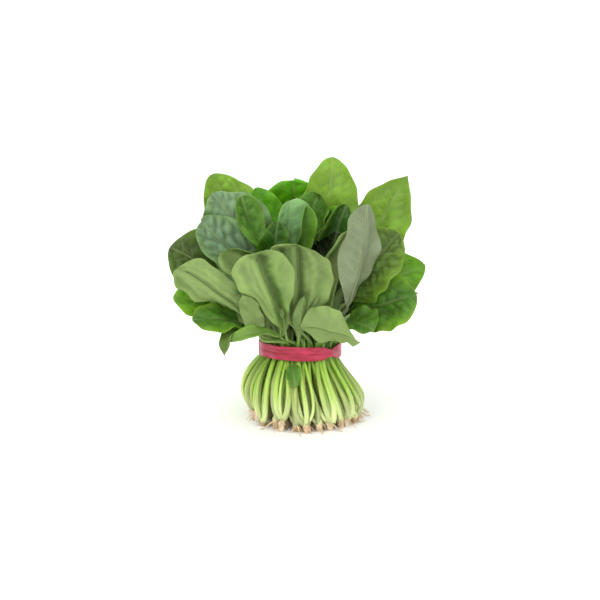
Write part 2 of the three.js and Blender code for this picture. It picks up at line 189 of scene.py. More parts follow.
# %% Low leaves, on the outer stalks
LOW = [
    dict(at="front apron", foot=(0, -41, 92), tip=(46, -74, 90), wide=46, face=(-0.2, 0.95, 0.45), fold=10,
         point=0.4, savoy=0.5, tint="light"),
    dict(at="front tall", foot=(-2, -34, 84), tip=(-4, -65, 169), wide=64, face=(0.1, 1, 0.1), fold=-14,
         arch=8, point=0.34, widest=0.55, wedge=1.4, ripple=1.6, pleat=1.0, tint="light",
         creases=[(0.03, 6, 2), (-0.55, 5, 3.5), (-0.25, 1.5, 1), (0.3, 1.2, 0.9), (0.6, 2, 2)]),
    dict(at="front pleated", foot=(-11, -40, 81), tip=(-39, -84, 164), wide=50, face=(0.1, 1, 0.25), fold=10,
         arch=-3, widest=0.72, wedge=1.8, tint="light",
         creases=[(0.06, 10, 2.2), (-0.55, 3, 3), (-0.25, 1.5, 1), (0.4, 5, 7)]),
    dict(at="front left small", foot=(-34, -44, 84), tip=(-48, -63, 125), wide=22, face=(0, 1, 0.3),
         fold=24, point=1.0, tint="light"),
    dict(at="left hanging", foot=(-39, -29, 84), tip=(-64, -60, 72), wide=20, face=(-0.5, -0.4, 1), arch=14,
         point=1, tint="olive"),
    dict(at="left spread", foot=(-36, -39, 88), tip=(-103, -62, 147), wide=58, face=(0.2, 1, 0.5), fold=14,
         widest=0.58, wedge=1.2, tint="light", creases=[(0.02, 4, 1.6), (-0.7, 3, 3), (0.35, 1.2, 1)]),
    dict(at="left low", foot=(-44, -26, 90), tip=(-92, -44, 98), wide=46, face=(0.1, -0.6, 1), edge=1.35),
    dict(at="far left low", foot=(-50, -12, 94), tip=(-110, -20, 114), face=(0.2, -0.8, 1), edge=1.3,
         tint="bright"),
    dict(at="front right upright", foot=(24, -36, 94), tip=(49, -50, 177), wide=40, fold=34, widest=0.35,
         matt=0.9, tint="light", creases=[(-0.5, 4, 3)]),
    dict(at="grey blade", foot=(40, -47, 110), tip=(56, -58, 201), wide=38, face=(-0.6, 0.8, 0), fold=10,
         arch=-5, point=0.45, widest=0.56, matt=0.6, edge=0.7, savoy=0.6, tint="grey",
         creases=[(0.45, 2, 2.5)]),
    dict(at="front right tucked", foot=(38, -32, 92), tip=(62, -58, 93), wide=42, face=(-0.3, -0.4, 1)),
    dict(at="right spread", foot=(48, -12, 96), tip=(101, -24, 116), wide=58, face=(-0.2, -1, 0.6), edge=1.4,
         savoy=1.8),
    dict(at="far right", foot=(44, 4, 106), tip=(110, 0, 138), wide=56, face=(-0.3, -1, 0.5), point=0.8,
         ripple=3.4, tint="bright"),
]

# %% Higher leaves, behind them
HIGH = [
    dict(at="left behind pleated", foot=(-21, -33, 86), tip=(-61, -58, 163), wide=46, face=(0.2, 1, 0.2),
         widest=0.6, wedge=1.5, tint="light", creases=[(0.2, 6, 3), (-0.5, 4, 3)]),
    dict(at="behind front tall", foot=(-8, -26, 98), tip=(-17, -47, 156), wide=44, roll=0.3, matt=0.7),
    dict(at="behind right upright", foot=(20, -26, 106), tip=(32, -34, 174), wide=36, fold=30, matt=0,
         edge=0.3, tint="shadow"),
    dict(at="right broad", foot=(44, -24, 112), tip=(84, -34, 173), wide=60, face=(-0.5, -1, 0.3), edge=1.2,
         savoy=2.4, tint="olive"),
    dict(at="top right pointed", foot=(54, 10, 136), tip=(95, 24, 214), face=(-0.4, -0.9, 0.2), point=1.1,
         savoy=0.5, tint="fresh"),
    dict(at="top left", foot=(-42, 8, 140), tip=(-77, 20, 216), wide=52, face=(0.3, -1, 0.2), savoy=1.2,
         tint="fresh"),
    dict(at="far left", foot=(-52, -8, 116), tip=(-113, -10, 156), wide=66, face=(0.4, -1, 0.6), savoy=1.4,
         tint="moss"),
    dict(at="left blistered low", foot=(-38, -22, 120), tip=(-86, -28, 180), wide=60, face=(0.4, -1, 0.4),
         arch=9, savoy=2.6, tint="blue"),
]

# %% Upright leaves, on the plants in the middle
UPRIGHT = [
    dict(at="left blistered", foot=(-34, -12, 134), tip=(-76, -10, 203), wide=58, face=(0.4, -1, 0.4),
         arch=9, savoy=2.6, tint="blue"),
    dict(at="left narrow", foot=(-37, -22, 138), tip=(-50, -30, 204), wide=27, face=(0.5, -1, 0), fold=24,
         point=0.4, widest=0.62, savoy=1.8),
    dict(at="middle small", foot=(-33, -34, 136), tip=(-19, -44, 185), wide=30, face=(0.4, -1, 0.1), fold=8,
         savoy=1.4, tint="deep"),
    dict(at="middle rolled", foot=(-13, -22, 134), tip=(-9, -32, 200), wide=26, face=(0.2, -1, 0.1), fold=22,
         roll=0.2, point=0.5, widest=0.5, savoy=2.0, tint="teal"),
    dict(at="right rolled", foot=(-14, -26, 128), tip=(8, -34, 197), wide=23, face=(0.4, -1, 0.1), fold=40,
         roll=0.3, point=0.5, widest=0.5, matt=0.2, edge=1.2),
    dict(at="tallest", foot=(22, 6, 150), tip=(29, 28, 230), wide=52, face=(0, -1, 0.1), fold=6, widest=0.3,
         point=0.55, savoy=0.5, tint="fresh"),
    dict(at="middle right", foot=(8, -4, 146), tip=(14, -4, 204), wide=40, face=(-0.2, -1, 0.2), roll=0.2,
         point=0.5, savoy=1.6),
    dict(at="right inner", foot=(22, -12, 134), tip=(40, -14, 194), wide=32, face=(-0.3, -1, 0.1), roll=0.5,
         tint="deep"),
    dict(at="top middle", foot=(-6, 14, 136), tip=(-6, 8, 212), wide=60, face=(0, -1, 0.2), fold=8, arch=-8,
         widest=0.7, point=0.5, savoy=0.6, tint="vivid"),
    dict(at="top middle left", foot=(-18, 2, 138), tip=(-38, 6, 206), wide=36, face=(0.2, -1, 0.2),
         tint="vivid"),
]

# %% The four layers of leaves
# The leaves without a place of their own are spread over these headings. lean is how many degrees their tips
# lean from upright, now the one and now the other, and reach how far they are from the middle of the waist.
LAYERS = [
    dict(leaves=LOW, total=28, spread=(14, 178), lean=(68, 52), reach=120, blade=80, wide=47, fold=12,
         matt=1.0),
    dict(leaves=HIGH, total=14, spread=(32, 150), lean=(38, 30), reach=144, blade=84, wide=52, fold=14,
         matt=0.5),
    dict(leaves=UPRIGHT, total=15, spread=(-20, 150), lean=(20, 14), reach=134, blade=68, wide=32, fold=34,
         matt=0.35),
    dict(leaves=[], total=3, spread=(-180, 180), lean=(6, 4), reach=122, blade=56, wide=26, fold=40,
         matt=1.0),
]
print("leaves in all:", sum(layer["total"] for layer in LAYERS))

# %% [markdown]
# ### Dealing the leaves to the plants
#
# The rule needs the same random numbers as the frame: each is the last one times 1664525 plus 1013904223, and
# only the last 32 bits are kept. What is only seen here, such as the waves of a blade, is drawn from numpy's
# seeded generator instead, and so it never disturbs the first sequence.

# %% Random numbers
SEED = 7
draws = {"last": SEED}
chance = np.random.default_rng(SEED)


def next_draw():
    """The next number from 0 to 1 of the frame's own sequence."""
    draws["last"] = (draws["last"] * 1664525 + 1013904223) % 2**32
    return draws["last"] / 2**32


# %% Laying out the leaves
# how far the draws spread a leaf's heading, lean and size, and the share of its tip's lean that its foot has
VARIED = {"heading": 5.0, "lean": 5.0, "size": 0.16}
FOOT_LEAN = 0.85
OTHER_TINTS = ["green", "deep", "green", "bright", "olive", "green", "fresh", "blue"]
OTHER_SAVOY = (0.5, 1.8)


def varied(amount):
    """A draw from minus to plus half the amount."""
    return amount * (next_draw() - 0.5)


def blade_between(lean, heading, reach, length):
    """Foot and tip of a blade that leans outwards. Both lie on arms from the middle of the waist: the foot's
    arm leans FOOT_LEAN as much as the tip's, and is shorter by the blade."""
    waist = np.array([0, 0, BAND_Z])
    foot = waist + leaning(lean * FOOT_LEAN, heading) * (reach - length)
    return foot, waist + leaning(lean, heading) * reach


def facing_inward(foot, tip):
    """Where the upper side of a blade that leans outwards looks: towards the middle of the bunch, and half as
    much upwards."""
    return polar(-1, heading_of(foot + tip), 0.5)


def layer_leaves(layer):
    """The leaves of a layer: those with a place of their own, and then the rest, evenly spread."""
    count = layer["total"] - len(layer["leaves"])
    low, high = layer["spread"]
    ruled = []
    for i in range(count):
        heading = mix(low, high, (i + 0.5) / count) + varied(VARIED["heading"])
        lean = layer["lean"][i % 2] + varied(VARIED["lean"])
        size = 1 + varied(VARIED["size"])
        foot, tip = blade_between(lean, heading, layer["reach"], layer["blade"] * size)
        tint = OTHER_TINTS[int(chance.integers(len(OTHER_TINTS)))]
        ruled.append(dict(foot=foot, tip=tip, wide=layer["wide"] * size, fold=layer["fold"], tint=tint,
                          savoy=float(chance.uniform(*OTHER_SAVOY)), matt=layer["matt"]))
    leaves = [{**LEAF, **leaf} for leaf in [*layer["leaves"], *ruled]]
    for leaf in leaves:
        leaf["foot"], leaf["tip"] = np.array(leaf["foot"], float), np.array(leaf["tip"], float)
        leaf["face"] = unit(leaf.get("face", facing_inward(leaf["foot"], leaf["tip"])))
        leaf["heading"] = heading_of(leaf["foot"])
        leaf["phase"] = next_draw()
    return leaves


def turn_from(a, b):
    """The turn from one heading to another, from -180 to 180 degrees."""
    return (b - a + 180) % 360 - 180


def deal(leaves, places):
    """Gives each leaf a plant and a place in the band. Leaves and places are both sorted by heading, and the
    ring of leaves is turned, a place at a time, to where the squares of all the misfits add up to least."""
    leaves = sorted(leaves, key=lambda leaf: leaf["heading"])
    places = sorted(places, key=lambda place: place["heading"])
    count = len(places)

    def misfit(shift):
        return sum(turn_from(leaf["heading"], places[(i + shift) % count]["heading"]) ** 2
                   for i, leaf in enumerate(leaves))

    shift = min(range(count), key=misfit)
    for i, leaf in enumerate(leaves):
        place = places[(i + shift) % count]
        place["plant"]["leaves"].append({**leaf, "slot": place["slot"]})


# %% Planting
def all_plants():
    """Every plant, with its foot, the middle of its places in the band, and its leaves."""
    made, places = [], [[] for _ in LAYERS]
    for ring in RINGS:
        middle = np.mean([radius for radius, _ in ring["slots"]])
        for k in range(ring["count"]):
            heading = ring["heading"] + 360 / ring["count"] * k
            foot = polar(ring["foot"], heading) + (FOOT_SHIFT if ring["foot"] else 0, 0, 0)
            plant = dict(ring=ring["name"], name=f"{ring['name']}_{k + 1}", heading=heading, foot=foot,
                         waist=polar(middle, heading), leaves=[])
            for (radius, turn), layer in zip(ring["slots"], ring["layers"]):
                slot = polar(radius, heading + turn)
                places[layer].append(dict(plant=plant, slot=slot, heading=heading_of(slot)))
            made.append(plant)
    for layer, its_places in zip(LAYERS, places):
        deal(layer_leaves(layer), its_places)
    return made


plants = all_plants()
print("plants:", len(plants), "- leaves:", sum(len(plant["leaves"]) for plant in plants))

# %% [markdown]
# ## From curves to closed surfaces
#
# Stalks, blades and roots are all one kind of surface: a ring of points carried along a path. The rings could
# be skinned by Blender's own bevelled curves, but a blade's ring goes over its upper side and back under its
# lower one, so the ring has to change shape on the way. Here a surface is an array of rings, and its faces
# follow from the array's indices alone.

# %% Lofting
def loft_faces(rows, count, looped=False):
    """Quads between neighbouring rings. A looped surface goes on from its last ring to its first, and any
    other has a strip of quads across each of the two."""
    index = np.arange(rows * count).reshape(rows, count)
    beside, ahead = np.roll(index, -1, axis=1), np.roll(index, -1, axis=0)
    walls = np.stack([index, beside, np.roll(ahead, -1, axis=1), ahead], axis=-1)
    if looped:
        return walls.reshape(-1, 4)
    k = np.arange(count // 2 - 1)
    strip = np.stack([k, k + 1, count - 2 - k, count - 1 - k], axis=-1)
    return np.concatenate([walls[:-1].reshape(-1, 4), strip[:, ::-1], strip + index[-1, 0]])


print("a box, as two rings of four points, has", len(loft_faces(2, 4)), "faces")

def grid_of(x, y, z):
    """Rings of points from their coordinates, of which each may be the same along the path or round it."""
    return np.stack(np.broadcast_arrays(x, y, z), axis=-1)


def around(side, up, turns):
    """For each point of a path, the ways that lie at those turns: its side times the cosine, and its up times
    the sine."""
    return np.cos(turns)[:, None] * side[:, None, :] + np.sin(turns)[:, None] * up[:, None, :]


def shell(rings, tint=(0, 0, 0), under=0.0, rim=0.0, grain=(0, 0, 0), material=0, looped=False):
    """One closed surface, with what its material needs at each point: its tint, how much it is the underside,
    how near it is to the rim, and a place in millimetres for the pattern that follows the growth."""
    rows, count = rings.shape[:2]

    def each(values, *width):
        return np.broadcast_to(values, (rows, count, *width)).reshape(-1, *width)

    return dict(points=rings.reshape(-1, 3), faces=loft_faces(rows, count, looped), tint=each(tint, 3),
                under=each(under), rim=each(rim), grain=each(grain, 3), material=material)


# %% Making the mesh
def piece(name, shells, materials):
    """A mesh object of several closed surfaces, in metres, at the origin, with their values as attributes."""
    starts = np.cumsum([0, *[len(one["points"]) for one in shells[:-1]]])
    points = np.concatenate([one["points"] for one in shells])
    faces = np.concatenate([one["faces"] + start for one, start in zip(shells, starts)])
    mesh = bpy.data.meshes.new(name)
    mesh.vertices.add(len(points))
    mesh.vertices.foreach_set("co", (points * MM).ravel())
    mesh.loops.add(faces.size)
    mesh.loops.foreach_set("vertex_index", faces.ravel())
    mesh.polygons.add(len(faces))
    mesh.polygons.foreach_set("loop_start", np.arange(0, faces.size, 4))
    slots = np.repeat([one["material"] for one in shells], [len(one["faces"]) for one in shells])
    mesh.polygons.foreach_set("material_index", slots)
    mesh.update(calc_edges=True)
    mesh.shade_smooth()
    for key in ("tint", "grain", "under", "rim"):
        values = np.concatenate([one[key] for one in shells])
        kind, field = ("FLOAT_VECTOR", "vector") if values.ndim > 1 else ("FLOAT", "value")
        mesh.attributes.new(key, kind, "POINT").data.foreach_set(field, values.ravel())
    for material in materials:
        mesh.materials.append(material)
    made = bpy.data.objects.new(name, mesh)
    bpy.context.collection.objects.link(made)
    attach(made, "root")
    return made


# %% [markdown]
# ## Colours
#
# Colours are written as sRGB hex values, as a paint chart gives them, and one function turns them into the
# linear light that Blender's shaders count in. A spinach leaf goes from yellow-green when it is young to a
# deep green, its wax makes it bluish, and an underside that is turned to the light is grey-green.

# %% Tints
def linear(code):
    """An sRGB hex colour as linear red, green and blue. Each channel, from 0 to 1, is divided by 12.92 if it
    is dark, and otherwise moved by 0.055, scaled by 1.055 and raised to 2.4."""
    channels = np.array([int(code[i:i + 2], 16) for i in (1, 3, 5)]) / 255
    return np.where(channels <= 0.04045, channels / 12.92, ((channels + 0.055) / 1.055) ** 2.4)


TINTS = {
    "moss": linear("#43581f"),
    "shadow": linear("#10240a"),
    "teal": linear("#6f9a62"),
    "deep": linear("#2a5815"),
    "green": linear("#4d7c26"),
    "light": linear("#6f9440"),
    "bright": linear("#68a01c"),
    "vivid": linear("#56a008"),
    "fresh": linear("#76a02c"),
    "olive": linear("#556f2c"),
    "blue": linear("#6f8f68"),
    "grey": linear("#6d776b"),
}
# from the crown up to the band, above it, and along the midrib. Above the band they are darker, partly
# from their own greener colour and partly as painted shade.
STALK_TINTS = {
    "crown": linear("#d3df9c"),
    "low": linear("#d0e284"),
    "high": linear("#98c044"),
    "above": linear("#6f9838"),
    "rib": linear("#a9bb78"),
}
print("leaf tints:", sorted(TINTS))

# %% [markdown]
# ## Stalks
#
# A spinach stalk is a juicy tube, thicker at the crown, with a groove along its upper side and a few soft
# ridges. It runs from the crown, bulges over the table, is gathered by the band, and then carries on under
# the blade as its midrib. One profile is carried along the whole of it, so that the groove and the ridges
# never break.

# %% The curves of a leaf
def leaf_curves(plant, leaf):
    """Control points of a leaf's three curves.

    Below the band, its stalk rises from the crown, bows out and comes back in to its place, the more the
    further out that is. Above the band, it sets out straight up and arrives along the midrib, which bulges to
    the blade's upper side.
    """
    slot, foot, tip = leaf["slot"], leaf["foot"], leaf["tip"]
    in_band = slot + (0, 0, BAND_Z + slot[0] * BAND_SLANT[0] + slot[1] * BAND_SLANT[1])
    low = in_band - (0, 0, BAND_TALL / 2)
    high = in_band + (0, 0, BAND_TALL / 2 + BAND_CLEAR)
    crown = plant["foot"] + (0, 0, CROWN_Z + STALK_START + plant["sit"])
    spread = unit(slot - plant["waist"])
    to_right = (math.cos(math.radians(heading_of(slot))) + 1) / 2
    swell = mix(SWELL["left"], SWELL["right"], to_right) * (np.linalg.norm(slot) / SWELL["at"]) ** 2
    swell = swell + leaf["bulge"]
    sideways = polar(leaf["sway"], heading_of(slot) + 90)
    bow_up = BOW["spread"] * spread + polar(swell * BOW["up_share"], plant["heading"], BOW["up"])
    bow_down = polar(swell * BOW["down_share"], heading_of(slot), -BOW["down"])
    below = [
        crown + (BOW["young_start"] if leaf["young"] else BOW["start"]) * spread,
        crown + bow_up + sideways + plant["tilt"],
        low + bow_down + sideways * 0.5,
        low,
    ]
    rib = [foot, mix(foot, tip, 0.5) + 2 * leaf["arch"] * leaf["face"], tip]
    far = np.linalg.norm(high - foot)
    above = [
        high,
        mix(high, foot, 0.2) + (0, 0, far * 0.2),
        foot - far * 0.25 * unit(rib[1] - rib[0]),
        foot,
    ]
    return dict(below=below, above=above, rib=rib)


# %% The stalk
ROUND = 14
TURNS = np.arange(ROUND) / ROUND * 2 * np.pi + np.pi / ROUND
# soft ridges all round, and a groove at a quarter turn, which is the upper side
PROFILE = 1 + 0.05 * np.cos(5 * TURNS) - 0.3 * np.exp(-((TURNS - np.pi / 2) / 0.42) ** 2)
# where the rings stand, as shares of the three curves
BELOW = np.linspace(0, 1, 17)
ABOVE = np.linspace(0, 0.97, 13)
ON_RIB = np.linspace(0.03, 0.9, 15)
# the radius of the midrib at its end, and how much its fibres are stretched lengthways
THREAD_R = 0.3
STRETCH = 12.0
print("a stalk's profile is from", round(PROFILE.min(), 2), "to", round(PROFILE.max(), 2), "of its radius")


def stalk(leaf, thick):
    """The profile is carried along the leaf's curves. Its radius falls evenly from the crown to the band, to
    the foot of the blade, and then to a thread near the tip, where it is sunk into the blade from below. With
    the rings, it gives the way along the stalk and the radius at each."""
    curves = leaf["curves"]
    walked = [walk(curves["below"], BELOW), walk(curves["above"], ABOVE), walk(curves["rib"], ON_RIB)]
    points = np.concatenate([points for points, _, _ in walked])
    along = np.concatenate([along for _, along, _ in walked])
    midrib = blade_middle(leaf, ON_RIB, np.zeros(1), blistered=False)[0] + moved_to(leaf, ON_RIB, np.zeros(1))
    points[-len(ON_RIB):] = midrib[:, 0]
    crown, waist, blade_foot = (STALK_R[key] * thick for key in ("crown", "waist", "blade"))
    radius = np.concatenate([
        mix(crown, waist, BELOW),
        mix(waist, blade_foot, ABOVE),
        mix(blade_foot, THREAD_R, ON_RIB ** 0.75),
    ])
    side = unit(np.cross(leaf["face"], along))
    up = np.cross(along, side)
    sunk = np.concatenate([0 * BELOW, 0 * ABOVE, smooth(0, 0.15, ON_RIB)]) * radius * 0.85
    rings = (points - up * sunk[:, None])[:, None, :] + (
        radius[:, None, None] * PROFILE[None, :, None] * around(side, up, TURNS))
    gone = np.concatenate([[0], np.cumsum(np.linalg.norm(np.diff(points, axis=0), axis=1))])
    return rings, gone, radius


# %% Colouring the stalk
def stalk_shell(leaf, thick):
    """The stalk with its tint: nearly white at the crown, light green below the band, darker green above it,
    partly as painted shade, and the leaf's own green, paler, where it becomes the midrib. Stalks deep in the
    bunch are darker by painted shade."""
    rings, gone, radius = stalk(leaf, thick)
    share = gone / gone[len(BELOW) - 1]
    low = mix(STALK_TINTS["high"], STALK_TINTS["low"], chance.uniform(0, 1))
    own = mix(TINTS[leaf["tint"]], STALK_TINTS["rib"], 0.35)
    tint = STALK_TINTS["crown"]
    high, above = STALK_TINTS["high"], STALK_TINTS["above"]
    for further, begin, end in ((low, 0, 0.55), (high, 0.5, 0.9), (above, 0.9, 1.1), (own, 1.1, 1.6)):
        tint = mix(tint, further, smooth(begin, end, share)[:, None])
    # painted shade: stalks that stand nearer the middle of the band are darker, down to half
    painted_inner_shade = mix(0.5, 1.0, smooth(18, 31, np.linalg.norm(leaf["slot"])))
    tint = tint * painted_inner_shade * chance.uniform(0.68, 1.24)
    start = float(chance.uniform(0, 500))
    grain = grid_of(
        radius[:, None] * np.cos(TURNS) * 2 + start,
        radius[:, None] * np.sin(TURNS) * 2,
        gone[:, None] / STRETCH,
    )
    return shell(rings, tint[:, None, :], grain=grain, material=1)


# %% [markdown]
# ## Blades
#
# A young spinach blade is a smooth oval, lifted a little on both sides of its midrib. Side veins leave the
# midrib every 9 mm and curve towards the tip, and between them the blade bulges upwards, which growers call
# savoy. The margin waves gently. A displacement map could draw the bulges, but as part of the shape they also
# show in the outline and in the shadows, so each blade is a grid whose height is a formula.

# %% The outline of a blade
VEIN_GAP = 9.0
VEIN_LEAN = 0.55
VEIN_CURVE = 0.012


def half_width(leaf, t):
    """Half the width of the blade from its foot to its tip: a wedge that swells to its widest place, which is
    one less the square of what is left to go, and then rounds off to the tip in the same way. It is never
    narrower than a millimetre."""
    widest = leaf["widest"]
    share = np.where(t < widest, 1 - (1 - t / widest) ** 2, 1 - ((t - widest) / (1 - widest)) ** 2)
    power = np.where(t < widest, leaf["wedge"], leaf["point"])
    return np.maximum(leaf["wide"] / 2 * np.maximum(share, 0) ** power, 0.5)


def vein_phase(s, y):
    """Counts side veins: a whole number on each. A vein leans towards the tip by VEIN_LEAN of its way across,
    and by VEIN_CURVE of the square of it. Veins of the two sides are half a gap apart."""
    return (s - VEIN_LEAN * np.abs(y) - VEIN_CURVE * y**2) / VEIN_GAP + 0.5 * (y > 0)


widths = 2 * half_width(LEAF, np.linspace(0, 1, 6))
print("the usual blade, from foot to tip, is", np.round(widths, 1).tolist(), "mm wide")

# %% Blisters
CELL = 9.5
SHOULDER = 0.62


def pillows(s, y, seed):
    """Blisters as cushions between the small veins, from 0 in a valley to 1 on top.

    Points are scattered over the blade, one to a square of CELL, and each blister is what lies nearest to its
    point. The difference of the distances to the nearest point and the next one is 0 on the line between
    two blisters, and an S of it, over a share SHOULDER of CELL, gives each a round shoulder.
    """
    scatter = np.random.default_rng(int(seed * 1e6))
    rows, columns = int(s.max() / CELL) + 2, int(np.abs(y).max() / CELL) + 2
    at = np.stack(np.meshgrid(np.arange(rows), np.arange(-columns, columns), indexing="ij"), axis=-1)
    at = (at.reshape(-1, 2) + scatter.uniform(0, 1, (at.size // 2, 2))) * CELL
    apart = np.hypot(s[..., None] - at[:, 0], y[..., None] - at[:, 1])
    first, second = np.moveaxis(np.partition(apart, 1, axis=-1)[..., :2], -1, 0)
    return smooth(0, SHOULDER * CELL, second - first)


patch = pillows(*np.meshgrid(np.arange(40.0), np.arange(40.0), indexing="ij"), 0.5)
print("more than half way up a blister is", round(float(np.mean(patch > 0.5)), 2), "of a blade")

# %% Creases
def creases(leaf, v, half):
    """How deep the creases along a blade are: each falls off as the exponential of the square of the way from
    it, over its own width on the one side and 2.6 times as far on the other."""
    deep = np.zeros(np.broadcast(v, half).shape)
    for at, most, wide in leaf["creases"]:
        deep = deep + most * np.exp(-(((v - at) * half / wide / (1 + 1.6 * (v > at))) ** 2))
    return deep


# %% The height of a blade
def blade_height(leaf, t, v, s, y, half, blistered):
    """How far the blade's middle surface stands above its midrib, in millimetres.

    It adds up the lift of each half, which grows with the way across, rounded at the midrib, its cup, which
    grows with the square of it, pleats that fan out from the foot, creases along it, a roll of the margin,
    three waves that grow towards it, dents and blisters. A blister is mostly a cushion, and partly the root
    of the sine's size between two side veins, which makes each of them a narrow valley. What waves is held
    down where the blade is narrow.
    """
    side = np.where(v > 0, 1.0, -1.0)
    p, q, r = leaf["waves"]

    def wave(tall, power, count, begin, shift):
        """So many waves along the blade, which grow with that power of the way across."""
        return tall * np.abs(v) ** power * np.sin(2 * np.pi * (count * t + begin) + shift)

    lift = half * (np.sqrt(v**2 + 0.002) * math.sin(math.radians(leaf["fold"])) + leaf["cup"] * v**2)
    roll = leaf["roll"] * half * smooth(0.35, 1.0, np.abs(v)) ** 2
    deep = creases(leaf, v, half) * smooth(0, 0.2, t) * smooth(1.0, 0.86, t)
    pleats = leaf["pleat"] * np.cos(2 * np.pi * (1.6 * v + p)) * np.abs(v) * (1 - t) ** 0.5
    ripple = wave(leaf["ripple"], 2, 1.5, leaf["phase"], 2 * (v > 0))
    frill = wave(1.3, 3, 3.7, p, 1.3 * side)
    warp = wave(2.2, 2, 0.7, q, 2.1 * side)
    dents = 1.5 * np.sin(s / 6.5 + 8 * p + 1.5 * np.sin(y / 9 + 7 * q)) * np.sin(y / 6 + 6 * r)
    dents = dents * (1 - np.exp(-np.abs(y) / 4))
    held = np.minimum(1, half / 12)
    height = lift + roll + deep + (pleats + ripple + frill + warp + dents) * held
    if not blistered:
        return height
    swell = np.abs(np.sin(np.pi * vein_phase(s, y))) ** 0.7
    blister = leaf["savoy"] * (0.25 * swell + 0.75 * pillows(s, y, r))
    return height + blister * (1 - np.exp(-np.abs(y) / 3)) * (1 - v**4) * held


# %% The surface of a blade
def blade_middle(leaf, t, v, blistered=True):
    """The middle surface of a blade over the shares t along it and v across it, from 1 to -1.

    Each point stands on the midrib, goes sideways by its way across, times the cosine of the fold, and up by
    its height. The blade is twisted a little, and its margin is uneven by two waves. The points come with
    their way along, s, and across, y, in millimetres.
    """
    points, along, length = walk(leaf["curves"]["rib"], t)
    face = unit(leaf["face"] - along * (along @ leaf["face"])[:, None])
    side = np.cross(face, along)
    turn = np.radians(leaf["twist"]) * (t - 0.3)[:, None]
    face, side = face * np.cos(turn) + side * np.sin(turn), side * np.cos(turn) - face * np.sin(turn)
    p, q, _ = leaf["waves"]
    tt, vv = np.meshgrid(t, v, indexing="ij")
    uneven = 1 + 0.07 * np.sin(2 * np.pi * (1.2 * tt + q) + 2 * (vv > 0))
    uneven = uneven + 0.025 * np.sin(2 * np.pi * (4.3 * tt + p) + 4 * (vv > 0))
    half = half_width(leaf, tt)
    y = half * vv * uneven
    s = tt * length
    height = blade_height(leaf, tt, vv, s, y, half, blistered)
    middle = points[:, None, :] + side[:, None, :] * (y * math.cos(math.radians(leaf["fold"])))[..., None]
    return middle + face[:, None, :] * height[..., None], s, y


def normals_of(grid):
    """The unit normals of a grid of points: the cross product of its two directions."""
    return unit(np.cross(np.gradient(grid, axis=1), np.gradient(grid, axis=0)) + 1e-9)


def relief(grid, normals, step):
    """How far each point stands above the mean of the four points that many steps away, from -1 to 1. It
    comes near to 1 for a point that is 1 mm higher."""
    padded = np.pad(grid, ((step, step), (step, step), (0, 0)), mode="edge")
    across = padded[step:-step, : -2 * step] + padded[step:-step, 2 * step :]
    along = padded[: -2 * step, step:-step] + padded[2 * step :, step:-step]
    return np.tanh(np.sum((grid - (across + along) / 4) * normals, axis=-1) / 0.7)


# %% A blade
BLADE_THICK = 0.55
# how strongly the relief paints light and shade on a blade
RELIEF_LIGHT = 0.4


def there_and_back(values, back=None):
    """Values of the upper side from margin to margin, and then those of the lower side on the way back."""
    return np.concatenate([values, (values if back is None else back)[:, ::-1]], axis=1)


def blade(leaf, rows, columns):
    """The closed surface of a blade. Its rings go over the upper side from one margin to the other, and back
    under the lower side. Both sides are the middle surface moved along its normal by half the thickness, and
    it thins out at the margin. Painted light and shade follow the relief: what stands out towards a side is
    painted paler on it, what sinks is painted darker, and a deep crease gets painted shade and is never pale."""
    even = np.linspace(0, 1, rows + 1)
    t = (even + 0.5 - 0.5 * np.cos(np.pi * even)) / 2
    v = np.linspace(1, -1, columns + 1)
    middle, s, y = blade_middle(leaf, t, v)
    middle = middle + moved_to(leaf, t, v)
    normals = normals_of(middle)
    off = normals * (BLADE_THICK / 2 * (1 - 0.6 * v**8))[None, :, None]
    # painted light and shade: paler where the blade stands out, darker where it sinks
    relief_light = RELIEF_LIGHT * relief(middle, normals, 2 if rows > 30 else 1)
    deep = creases(leaf, v[None, :], half_width(leaf, t)[:, None]) * smooth(0, 0.1, t)[:, None]
    # painted shade in deep creases, which also keeps the pale underside from showing there
    crease_shade = smooth(1, 9, there_and_back(deep))
    shade = leaf["shade"] * there_and_back(1 + relief_light, 1 - relief_light) * (1 - 0.4 * crease_shade)
    under = there_and_back(np.zeros_like(s), np.ones_like(s)) * (1 - 0.75 * crease_shade) * leaf["matt"]
    start = float(chance.uniform(0, 300))
    grain = grid_of(there_and_back(s), there_and_back(y), start)
    rim = there_and_back(np.broadcast_to(np.abs(v) * leaf["edge"], s.shape))
    rings = there_and_back(middle + off, middle - off)
    return shell(rings, TINTS[leaf["tint"]] * shade[..., None], under, rim, grain)


# %% [markdown]
# ## Letting the leaves settle
#
# Blades that are drawn one by one run through each other where they meet. Real ones press each other aside,
# so the big blades are settled before they are meshed. A cloth simulation could do it, but sixty stiff leaves
# that touch everywhere are slow to solve and hard to hold in place. A lighter way is enough here: each blade
# is a coarse grid, and each pair of neighbours first decides who lies on which side. Then, for some rounds,
# points on the wrong side are pushed back, the other blade gives way in turn, and the pushes are smoothed so
# that a blade bends instead of denting.

# %% Where a blade has moved to
COARSE_T = np.linspace(0, 1, 15)
COARSE_V = np.linspace(1, -1, 9)


def moved_to(leaf, t, v):
    """How far the settled blade has moved at shares t and v: the mean of its coarse grid of moves, where each
    weighs less by the exponential of the square of the steps to it, so that no crease shows."""
    def weights(places, grid):
        at = np.interp(places, grid, np.arange(len(grid)))
        steps = at[:, None] - np.arange(len(grid))
        kernel = np.exp(-(steps / 0.75) ** 2)
        return kernel / kernel.sum(axis=1, keepdims=True)

    across = weights(-np.asarray(v), -COARSE_V)
    return np.einsum("ti,vj,ijk->tvk", weights(t, COARSE_T), across, leaf["moves"])


# %% Who lies where
# how close a blade may come to another, how far it may be moved, how far beside and above a blade its
# neighbours are looked for, and by how much the boxes of two blades may miss each other
CLEAR = 1.8
MOST = 16.0
NEAR_BESIDE = 5.0
NEAR_ABOVE = 22.0
BOXES_APART = 12.0


